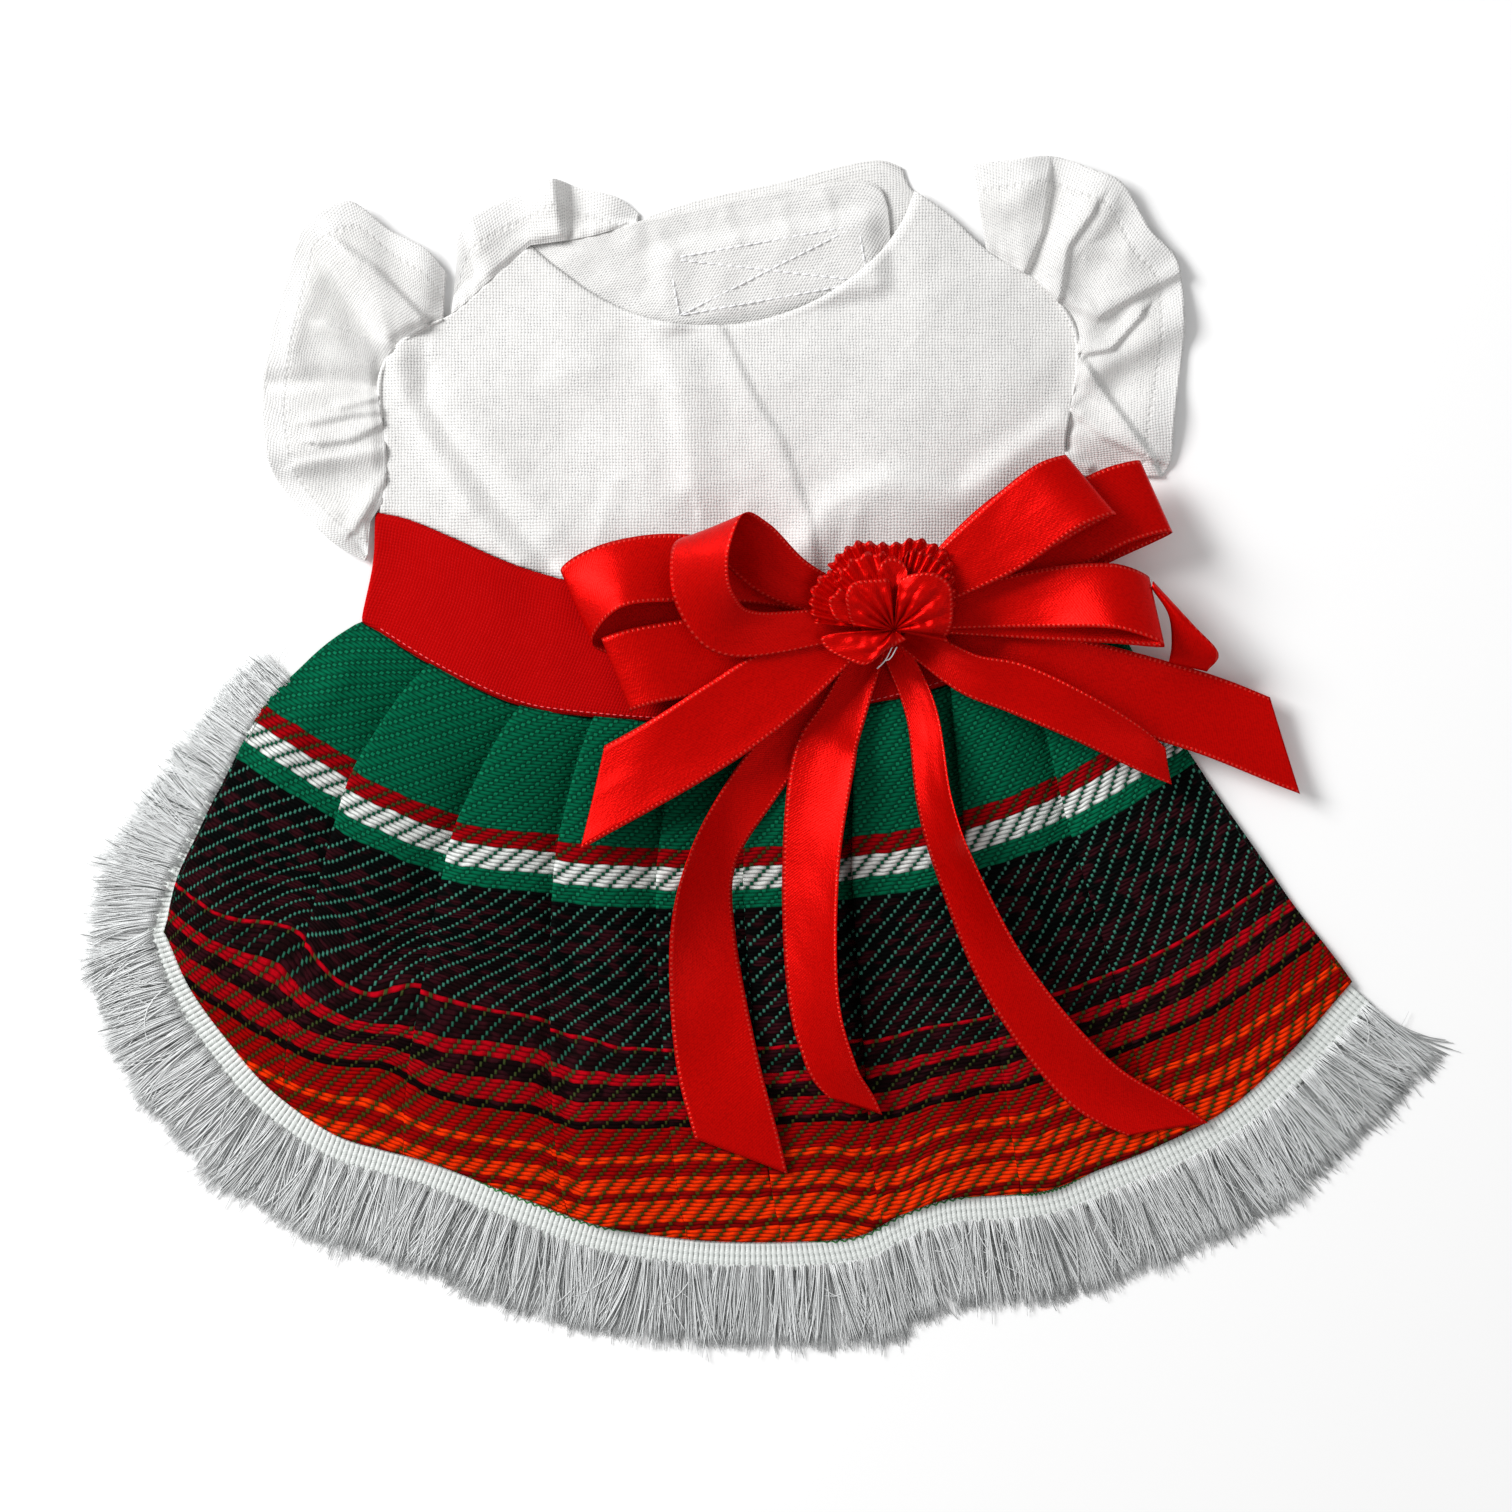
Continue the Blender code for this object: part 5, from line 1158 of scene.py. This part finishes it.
def strands(name, count, layer, bundle_mm, shade):
    """Curved strands from the header outwards, in bundles that draw together and lean as one."""
    parts = np.sort(chance.uniform(0.0, 1.0, count))
    root, outward, header, reach = fringe_place(parts)
    s = np.linspace(0.0, 1.0, 8)[None, :]
    cell = parts * route_mm / bundle_mm + 0.3 * slow(parts, 11.0, 51 + layer)
    bundle, within = np.floor(cell).astype(int), cell - np.floor(cell) - 0.5
    own = np.random.default_rng(61 + layer).normal(0, 1, (4, bundle.max() + 1))[:, bundle]
    lean = np.radians(7 * slow(parts, 17.0, 1 + layer) + 6 * own[0] + chance.normal(0, 3.0, count))
    draw = np.degrees(np.arctan2(within * bundle_mm, 24.0))
    curl = np.radians(8 * own[1] + 1.6 * draw + chance.normal(0, 7, count))
    stray = chance.uniform(0, 1, count) < 0.05
    curl = np.where(stray, np.radians(chance.normal(0, 60, count)), curl)
    angle = lean[:, None] + curl[:, None] * s
    begin = np.maximum(header - 1.2 - chance.uniform(0, 1.0, count), 0.4)
    length = (reach - begin) * (1.0 + 0.05 * own[2] + chance.normal(0, 0.035, count))
    length = length * np.where(chance.uniform(0, 1, count) < 0.04, 1.1, 1.0)
    direction = np.stack([outward[:, None, 0] * np.cos(angle) - outward[:, None, 1] * np.sin(angle),
                          outward[:, None, 0] * np.sin(angle) + outward[:, None, 1] * np.cos(angle)],
                         axis=-1)
    steps = direction * (length[:, None] / (s.size - 1))[..., None]
    steps[:, 0] = 0.0
    plan = root[:, None] + (outward * begin[:, None])[:, None] + np.cumsum(steps, axis=1)
    crown = 0.9 * (1 - 4 * within ** 2) * layer
    top = 0.4 + 0.5 * layer + crown + chance.uniform(0, 0.5, count)
    height = top[:, None] * (1 - 0.6 * s) + 0.25 + 0.5 * np.sin(np.pi * s) * chance.uniform(0, 1, (count, 1))
    paths = np.dstack([plan, height])
    radii = 0.17 * chance.uniform(0.7, 1.25, (count, 1)) * np.array([1, 1, 1, 1, 1, 1, 0.9, 0.5])
    points, faces = tubes(paths, radii, 3)
    # Colour share of each strand, higher being greyer. Painted shade makes the lower layer greyer than the
    # top one, and strands at a lock's edges greyer than at its middle. The share also falls towards the left
    # end of the route and varies at random by lock and strand. One strand in 25 gets the full grey, painted
    # shade of a strand that catches no light.
    left = 0.35 * smoothstep(0.5, 0.15, parts)
    painted_shade_and_tone = shade - left + 0.1 * own[3] + 0.45 * np.abs(within) + chance.normal(0, 0.09, count)
    painted_shade_and_tone = np.where(chance.uniform(0, 1, count) < 0.04, 1.0, np.clip(painted_shade_and_tone, 0, 1))
    cloth = np.stack([np.repeat(painted_shade_and_tone, 24), np.tile(np.repeat(np.arange(8) * 3.0, 3), count),
                      np.full(count * 24, 99.0)], axis=-1)
    piece = mesh_piece(name, points, faces, white_rayon, cloth)
    return piece


# The last argument is painted shade: the lower layer is coloured greyer than the top one.
pieces["fringe_strands_low"] = strands("fringe_strands_low", 3300, 0, 5.0, 0.35)
pieces["fringe_strands_top"] = strands("fringe_strands_top", 3300, 1, 4.36, -0.05)
print("strands:", 6600)

# %% [markdown]
# ## Bow
# The bow is one satin ribbon, 25 mm wide, laid in six loops and six free ends and bound in the
# middle. Each ribbon is a table of stations along its centre line, with its height, width, the
# direction of its width and its lean; a smooth curve through them gives the strip. Heights of the
# free ends are above the cloth that they lie on.

# %% Tables of the ribbons
BINDING_CENTRE = np.array((40.0, 42.0))
BINDING_RADIUS = 8.0
BINDING_BOTTOM, BINDING_TOP = 5.0, 20.2
ROOT_WIDTH = 9.0
TAILS = {
    "tail_left_1": (16.4, 23.0, (
        (10.0, 24.0, 13.2, 22.0, 0.0), (-8.0, 11.5, 12.6, 25.0, 0.0),
        (-27.0, -0.5, 9.8, 25.0, 0.0), (-52.0, -14.5, 1.5, 25.0, 6.0),
    )),
    "tail_left_2": (6.6, 18.0, (
        (14.0, 8.0, 0.9, 15.0, 0.0), (-1.0, -11.0, 1.2, 16.0, -12.0),
        (-14.0, -34.0, 1.5, 15.0, -42.0), (-17.0, -60.0, 2.0, 21.0, -25.0),
        (-12.5, -97.0, 2.4, 26.0, 5.0), (-5.0, -128.0, 1.4, 26.0, 0.0),
    )),
    "tail_left_3": (8.4, 14.0, (
        (27.0, 12.0, 2.2, 15.0, 5.0), (21.0, -3.0, 2.2, 20.0, 15.0),
        (17.0, -36.0, 2.5, 18.0, 30.0), (17.5, -75.0, 2.5, 16.0, 38.0), (23.0, -98.0, 2.0, 15.0, 25.0),
        (31.0, -112.0, 0.8, 12.0, 5.0),
    )),
    "tail_right_4": (6.6, 20.0, (
        (52.0, 12.0, 1.0, 10.0, 25.0), (56.0, -16.0, 1.5, 11.0, 45.0),
        (63.0, -38.0, 2.0, 12.5, 50.0), (79.0, -72.0, 2.0, 16.5, 35.0), (104.0, -103.0, 1.5, 19.0, 15.0),
        (130.0, -119.5, 0.8, 17.0, 0.0),
    )),
    "tail_right_5": (8.6, -20.0, (
        (72.0, 31.0, 4.5, 19.0, 0.0), (90.0, 26.0, 4.5, 24.0, 4.0),
        (112.0, 20.5, 4.0, 25.0, 0.0), (140.0, 12.5, 4.0, 25.0, -6.0), (167.0, 2.0, 6.0, 25.0, 0.0),
    )),
    "tail_right_6": (11.5, -8.0, (
        (66.0, 25.0, 8.5, 13.0, 8.0), (82.0, 20.0, 8.5, 16.0, 10.0),
        (102.0, 11.0, 8.5, 15.0, 15.0), (119.0, 2.0, 7.0, 13.0, 12.0), (130.0, -4.5, 5.5, 9.0, 0.0),
    )),
}
LOOPS = {
    "loop_left_1": ((8.0, 13.2), (
        (-10.0, 43.0, 8.4, -85.0, 0.0, 23.0), (-44.0, 42.5, 8.3, -78.0, 0.0, 25.0),
        (-57.0, 46.0, 12.0, -66.0, 4.0, 25.0), (-44.0, 56.0, 17.5, -80.0, 28.0, 24.0),
        (-20.0, 58.0, 14.5, -82.0, 12.0, 22.0), (5.0, 54.0, 13.2, -80.0, 3.0, 17.0),
    )),
    "loop_left_3": ((10.0, 11.6), (
        (-12.0, 32.0, 10.6, -80.0, 0.0, 23.0), (-38.0, 26.5, 11.0, -72.0, 0.0, 25.0),
        (-44.5, 24.3, 14.4, -68.0, 0.0, 25.0), (-34.0, 27.5, 16.8, -72.0, 2.0, 25.0),
        (-10.0, 31.5, 13.8, -78.0, 0.0, 23.0),
    )),
    "loop_left_2": ((14.8, 17.9), (
        (10.0, 54.0, 19.5, 45.0, 12.0, 17.0), (-4.0, 66.0, 24.0, 35.0, 33.0, 23.0),
        (-13.0, 71.0, 28.5, 22.0, 40.0, 25.0), (-18.0, 62.0, 32.0, 0.0, 40.0, 24.0),
        (-16.0, 47.0, 29.5, 15.0, 33.0, 22.0), (-4.0, 37.0, 24.0, 60.0, 15.0, 17.0),
    )),
    "loop_right_2": ((6.6, 10.2), (
        (84.0, 60.0, 8.0, -66.0, 0.0, 23.0), (108.0, 72.0, 9.0, -62.0, 0.0, 25.0),
        (126.0, 80.5, 13.5, -66.0, 6.0, 25.0), (112.0, 77.0, 17.5, -62.0, 6.0, 25.0),
        (88.0, 64.0, 13.0, -62.0, 0.0, 22.0),
    )),
    "loop_right_1": ((16.8, 18.4), (
        (74.0, 66.0, 20.2, -56.0, 0.0, 22.0), (96.0, 80.0, 21.0, -52.0, 5.0, 25.0),
        (105.0, 84.0, 25.0, -50.0, 10.0, 25.0), (94.0, 80.0, 28.5, -50.0, 12.0, 25.0),
        (74.0, 65.0, 24.0, -54.0, 5.0, 22.0),
    )),
    "loop_right_3": ((13.6, 15.1), (
        (82.0, 45.0, 15.6, -88.0, 0.0, 19.0), (110.0, 46.0, 17.0, -85.0, 10.0, 24.0),
        (126.0, 44.0, 20.5, -78.0, 22.0, 24.0), (112.0, 49.0, 24.5, -88.0, 20.0, 22.0),
        (86.0, 48.0, 18.8, -88.0, 3.0, 18.0),
    )),
}

# %% Make the ribbons
below = np.vstack([g.reshape(-1, 3)[::3] for g in (bodice_grid, band_upper, skirt_upper)])


def highest_under(places, around):
    """Highest point of the cloth below within a distance of each place."""
    gaps = np.linalg.norm(below[None, :, :2] - places[:, None, :2], axis=2)
    return np.where(gaps < around, below[None, :, 2], ON_FLOOR).max(axis=1) + 0.6


def ribbon(name, centre, across, width, cut=0.0, trough=0.0):
    """Strip from a centre line: width times t across it, its middle sunk by trough * (1 - 4 t t)."""
    t = np.linspace(-0.5, 0.5, 15)[None, :, None]
    grid = centre[:, None] + across[:, None] * width[:, None, None] * t
    along_line = np.gradient(centre, axis=0)
    along_line /= np.linalg.norm(along_line, axis=1)[:, None]
    normal = np.cross(along_line, across)
    normal *= np.where(normal[:, 2:] < 0, -1.0, 1.0)
    grid = grid - normal[:, None] * trough * (1 - 4 * t ** 2)
    reach = smoothstep(0.6, 1.0, np.linspace(0, 1, len(grid)))[:, None, None]
    flat_run = along_line * [1.0, 1.0, 0.0]
    grid = grid + flat_run[:, None] * cut * t * reach
    run = lengths_along(centre)
    along_mm = run[:, None] + cut * t[..., 0] * reach[..., 0]
    real_width = np.linalg.norm(grid[:, -1] - grid[:, 0], axis=1)[:, None]
    edge_mm = (0.5 - np.abs(t[..., 0])) * np.maximum(real_width, 20.0)
    lengths = np.stack([along_mm, t[..., 0] * 25.0 + 0 * along_mm, edge_mm], axis=-1)
    return cloth_piece(name + "_ribbon", grid, red_satin, RIBBON_THICK, lengths, name)


def root_place(toward):
    """Where a ribbon that runs toward a place leaves the binding, and its direction there."""
    run = np.array(toward) - BINDING_CENTRE
    run /= np.linalg.norm(run)
    return BINDING_CENTRE + run * BINDING_RADIUS, run


for name, (root_height, skew, rows) in TAILS.items():
    rows = np.array(rows)
    start, _ = root_place(rows[0, :2])
    rows[:, 2] += highest_under(rows[:, :2], 12.0) + rows[:, 3] / 2 * np.abs(np.tan(np.radians(rows[:, 4])))
    rows = np.vstack([[*start, root_height, ROOT_WIDTH, 0.0], rows])
    stations = smooth_rows(rows, np.linspace(0, 1, 120))
    centre, width, lean = stations[:, :3], stations[:, 3], np.radians(stations[:, 4])
    run = np.gradient(centre[:, :2], axis=0)
    run /= np.linalg.norm(run, axis=1)[:, None]
    across = np.column_stack([-run[:, 1], run[:, 0], np.tan(lean)])
    pieces[name] = ribbon(name, centre, across, width, skew, 0.8)

for name, (root_heights, rows) in LOOPS.items():
    ends = []
    for row, root_height in ((rows[0], root_heights[0]), (rows[-1], root_heights[1])):
        place, run = root_place(row[:2])
        turn = math.degrees(math.atan2(-run[0], run[1]))
        turn += 180.0 * round((row[3] - turn) / 180.0)
        ends.append([*place, root_height, turn, 0.0, ROOT_WIDTH])
    rows = np.vstack([ends[0], rows, ends[1]])
    stations = smooth_rows(rows, np.linspace(0, 1, 150), measure=3)
    turn, lean = np.radians(stations[:, 3]), np.radians(stations[:, 4])
    across = np.column_stack([np.cos(turn) * np.cos(lean), np.sin(turn) * np.cos(lean), np.sin(lean)])
    pieces[name] = ribbon(name, stations[:, :3], across, stations[:, 5])
print("ribbons:", len(TAILS) + len(LOOPS))

# The lower right loop curls back under itself and shows its other side
inner = smooth_rows(((124.4, 51.6, 17.2), (129.6, 43.5, 18.0), (130.8, 34.5, 15.0), (130.0, 28.0, 12.0)),
                    np.linspace(0, 1, 30), 3)
outer = smooth_rows(((124.8, 53.8, 16.4), (137.0, 40.5, 19.0), (145.5, 31.2, 16.5), (142.0, 25.4, 12.5)),
                    np.linspace(0, 1, 30), 3)
t = np.linspace(0, 1, 12)[None, :, None]
curl_grid = inner[:, None] * (1 - t) + outer[:, None] * t + [0.0, 0.0, 1.0] * (1.2 * np.sin(np.pi * t))
curl_lengths = grid_lengths(curl_grid, 8.0)
curl_lengths[..., 2] = curl_lengths[:, -1:, 0] - curl_lengths[..., 0] + 0.4
pieces["loop_right_3_curl"] = cloth_piece("loop_right_3_curl", curl_grid[:, ::-1], red_satin,
                                          RIBBON_THICK, curl_lengths[:, ::-1])

# %% [markdown]
# ## Binding and rosette
# Thread is wound round the gathered ribbons in the middle of the bow. The rosette on top of it is a
# ribbon folded into petals and gathered to one pinch, with a narrow frill behind them. Each petal
# is drawn from the pinch to a rim given by a few points, with fine folds where it is gathered.

# %% Binding
turns = np.linspace(0, 2 * math.pi, 97)[None, :]
level = np.linspace(BINDING_BOTTOM, BINDING_TOP, 24)[:, None]
gathers = BINDING_RADIUS * (0.93 + 0.07 * np.cos(14 * turns))
waist_in = 1 - 0.18 * np.sin(np.pi * (level - BINDING_BOTTOM) / (BINDING_TOP - BINDING_BOTTOM))
radius = gathers * waist_in
side_wall = np.dstack([BINDING_CENTRE[0] + radius * np.cos(turns),
                       BINDING_CENTRE[1] + radius * np.sin(turns), level + 0 * radius])[:, :-1]
cap_rings = np.linspace(1.0, 0.02, 6)[:, None, None]
centre_top = np.array([*BINDING_CENTRE, BINDING_TOP])
centre_low = np.array([*BINDING_CENTRE, BINDING_BOTTOM])
top_cap = centre_top + (side_wall[-1:] - centre_top) * cap_rings
low_cap = centre_low + (side_wall[:1] - centre_low) * cap_rings[::-1]
shell = np.concatenate([low_cap[:-1], side_wall, top_cap[1:]])
rows, columns = shell.shape[:2]
index = np.arange(rows * columns).reshape(rows, columns)
after = np.roll(index, -1, axis=1)
walls = np.stack([index[:-1], after[:-1], after[1:], index[1:]], axis=-1).reshape(-1, 4)
binding = mesh_piece("bow_binding_ribbon", shell, [walls, index[:1, ::-1], index[-1:]], red_satin,
                     np.dstack([turns[:, :-1] * 8.0 + 0 * shell[..., 0], shell[..., 2],
                                np.full(shell.shape[:2], 12.0)]))
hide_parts("bow_binding")
pieces["bow_binding"] = binding

# %% Rosette
PINCH = np.array((43.0, 38.3))
# Each petal: level at the pinch, folds at the pinch and their depth, waves along the rim and their
# height, belly, then points of the rim from right to left: x, y, z
PETALS = (
    (20.8, 11, 0.6, 17, 1.3, 0.5, ((59.6, 34.5, 22.5), (61.6, 43.0, 22.5), (62.2, 52.0, 22.8),
     (61.0, 60.5, 23.2), (57.0, 64.5, 23.5), (50.0, 67.0, 23.5), (44.0, 65.6, 23.5), (38.0, 65.6, 23.2),
     (31.5, 66.0, 23.0), (25.5, 62.0, 22.8), (22.5, 58.5, 22.5))),
    (21.0, 6, 0.6, 6, 1.2, 0.5, ((26.0, 58.0, 24.0), (20.5, 55.5, 24.2), (17.2, 51.0, 24.2),
     (16.8, 45.0, 24.0), (18.6, 40.5, 23.5))),
    (23.5, 5, 0.8, 9, 1.1, 0.6, ((61.0, 50.0, 26.5), (60.0, 57.0, 27.0), (55.5, 61.5, 27.2),
     (49.0, 63.5, 27.2), (45.5, 60.5, 27.0))),
    (23.5, 4, 0.8, 5, 1.3, 0.6, ((43.5, 61.0, 27.0), (39.5, 62.5, 27.0), (33.0, 62.0, 26.8),
     (27.5, 58.5, 26.5), (24.5, 53.0, 26.0))),
    (22.6, 3, 0.5, 3, 0.5, 0.8, ((31.0, 40.0, 25.5), (24.5, 42.0, 26.0), (22.5, 47.5, 26.5),
     (26.0, 51.5, 27.0))),
    (25.0, 2, 0.6, 2, 0.7, 1.2, ((47.5, 54.5, 30.0), (46.5, 59.0, 31.0), (42.0, 60.8, 31.0),
     (38.0, 58.0, 30.5), (38.5, 54.0, 29.5))),
    (25.2, 4, 0.9, 2, 0.6, 2.4, ((42.0, 53.0, 31.0), (40.5, 54.4, 33.0), (35.5, 54.2, 34.5),
     (30.0, 52.8, 34.5), (27.8, 48.5, 33.5), (28.4, 43.0, 30.5), (30.5, 39.6, 27.5))),
    (25.2, 4, 0.9, 2, 0.5, 2.2, ((59.6, 36.6, 26.5), (61.6, 41.0, 29.0), (61.6, 47.5, 31.5),
     (60.2, 53.0, 33.0), (55.5, 56.0, 34.0), (50.0, 56.2, 34.0), (45.8, 54.6, 32.5), (44.2, 52.0, 31.0))),
    (24.6, 3, 0.7, 2, 0.5, 1.0, ((29.0, 37.8, 25.0), (20.0, 36.0, 24.0), (22.5, 31.8, 24.2),
     (28.8, 28.8, 24.6), (34.5, 27.4, 25.0), (40.2, 31.5, 25.2), (47.0, 35.6, 25.2))),
)


def petal(low, folds, deep, waves, high, belly, rim_rows):
    """Petal: pinch + (rim - pinch) * s, a belly of sin(pi s), folds near the pinch, waves at the rim."""
    t = np.linspace(0.0, 1.0, 10 * waves + 24)
    rim = smooth_rows(rim_rows, t)
    s = np.linspace(0.05, 1.0, 22)[:, None]
    pinch = np.array([*PINCH, low])
    grid = pinch + (rim - pinch)[None] * s[..., None]
    gather = deep * np.abs(np.sin(np.pi * folds * t + 0.6)) * np.sin(np.pi * s ** 0.6) * 2.2
    beat = 2 * np.pi * waves * t + 0.9 * np.sin(7 * t)
    wave = high * s ** 3 * np.sin(beat)
    crumple = rumple(grid[..., :2], 5.0, 0.5, int(10 * low)) * np.sin(np.pi * s) ** 0.5
    grid[..., 2] += gather + belly * np.sin(np.pi * s) + wave + crumple
    outward = (rim - pinch)[None, :, :2]
    far = np.linalg.norm(outward, axis=-1)
    grid[..., :2] += outward / far[..., None] * (0.45 * high * s ** 3 * np.cos(beat))[..., None]
    run = np.concatenate([[0.0], np.cumsum(np.linalg.norm(np.diff(rim, axis=0), axis=1))])
    lengths = np.stack([run[None] + 0 * s, s * far, (1 - s) * far], axis=-1)
    return grid, lengths


petals = [petal(*row) for row in PETALS]
points = np.concatenate([g.reshape(-1, 3) for g, _ in petals])
lengths = np.concatenate([c.reshape(-1, 3) for _, c in petals])
offsets = np.cumsum([0] + [g.shape[0] * g.shape[1] for g, _ in petals[:-1]])
faces = [grid_faces(*g.shape[:2])[:, ::-1] + k for (g, _), k in zip(petals, offsets)]
rosette = mesh_piece("rosette_ribbon", points, faces, red_satin, lengths)
wall = rosette.modifiers.new("Thickness", "SOLIDIFY")
wall.thickness = RIBBON_THICK * MM
wall.offset = 0.0
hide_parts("rosette")
pieces["rosette"] = rosette
print("rosette petals:", len(PETALS))

# %% [markdown]
# ## Loose threads and seams
# The waistband is sewn down with small stitches along its lower edge. The skirt's raw hem is
# overlocked in green, and that thread peeps out between cloth and fringe in two places. A short
# white thread end hangs below the rosette.

# %% Seam stitches and threads
low_edge = sideways(smooth_rows(WAIST_LOW, np.linspace(0.02, 0.98, 400)), 1.3)
band_top = np.array([np.interp(x, band_upper[-3, :, 0], band_upper[-3, :, 2]) for x in low_edge[:, 0]])
runs, radii = stitches([np.column_stack([low_edge, band_top + COTTON_THICK / 2])], 2.1, 1.3, 0.17, 0.08)
points, faces = tubes(runs, radii, 5)
pieces["band_stitches"] = mesh_piece("band_stitches", points, faces, pink_thread,
                                     np.zeros((len(points), 3)))

zigzags = []
for start, stop in ((0.30, 0.42), (0.55, 0.68), (0.70, 0.76)):
    share = np.linspace(start, stop, 240)
    base = smooth_rows(HEM, share)[:, :2]
    teeth = 0.9 * np.abs((share - start) / (stop - start) * 40 % 2 - 1) + 0.1
    sink = smoothstep(start, start + 0.02, share) * smoothstep(stop, stop - 0.02, share)
    edge = sideways(base, 0.0) - (sideways(base, 1.0) - base) * (teeth * sink)[:, None]
    zigzags.append(np.column_stack([edge, np.full(len(edge), 1.75)]))
points, faces = tubes(np.array(zigzags), 0.28, 5)
pieces["overlock_thread"] = mesh_piece("overlock_thread", points, faces, green_thread,
                                       np.column_stack([points[:, 0] * 0.3 % 1, points[:, :2]]))

ends = np.array([smooth_rows(rows, np.linspace(0, 1, 14), 3) for rows in (
    ((43.0, 34.0, 24.0), (40.5, 29.0, 22.5), (37.8, 26.2, 21.0)),
    ((44.0, 33.0, 24.0), (42.0, 29.5, 23.0), (40.0, 28.6, 22.0)))])
points, faces = tubes(ends, 0.22, 5)
pieces["thread_ends"] = mesh_piece("thread_ends", points, faces, white_thread,
                                   np.zeros((len(points), 3)))

# %% [markdown]
# The table below lists each sheet with the size that its shown part was cut to, how it is held and
# what it lies on; the loop over it does nothing with them. Lengths are runs along the cloth, over its
# folds. All bow ribbon is 25 mm wide; where less than the full strip shows, since its root is gathered
# in the binding, the share says so. Pieces that name nothing below them lie on the floor.

# %% Sheets
# Each row: piece, width and length of its cut in mm, share of that rectangle, hold, what is below
SHEETS = (
    ("bodice_upper", 222, 130, 0.70, "laid", ("bodice_under_left", "bodice_under_right")),
    ("bodice_under_left", 171, 133, 0.79, "laid", ("closure_tape", "bodice_under_right")),
    ("bodice_under_right", 143, 140, 0.78, "laid", ()),
    ("closure_tape", 65, 19, 1.0, "laid", ("bodice_under_right",)),
    ("ruffle_left", 183, 45, 0.67, "gathered", ()),
    ("ruffle_right", 152, 45, 0.79, "gathered", ()),
    ("ruffle_left_back", 81, 21, 0.82, "gathered", ()),
    ("waistband", 462, 37, 1.0, "folded", ()),
    ("skirt", 490, 165, 1.0, "gathered", ("fringe",)),
    ("tail_left_1", 112, 25, 1.0, "laid", ("skirt",)),
    ("tail_left_2", 192, 25, 1.0, "laid", ("skirt",)),
    ("tail_left_3", 161, 25, 0.9, "laid", ("skirt",)),
    ("tail_right_4", 196, 25, 0.8, "laid", ("skirt",)),
    ("tail_right_5", 136, 25, 1.0, "laid", ("skirt",)),
    ("tail_right_6", 99, 25, 0.65, "laid", ("tail_right_5",)),
    ("loop_left_1", 187, 25, 1.0, "folded", ("waistband", "bodice_upper")),
    ("loop_left_3", 159, 25, 1.0, "folded", ("waistband",)),
    ("loop_left_2", 137, 25, 0.9, "folded", ("loop_left_1",)),
    ("loop_right_2", 175, 25, 1.0, "folded", ("waistband", "bodice_upper")),
    ("loop_right_1", 143, 25, 1.0, "folded", ("loop_right_2",)),
    ("loop_right_3", 160, 25, 0.9, "folded", ("waistband",)),
    ("rosette", 200, 25, 1.0, "gathered", ("bow_binding",)),
)

for name, width, length, share, held, below in SHEETS:
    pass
print("sheets declared:", len(SHEETS))
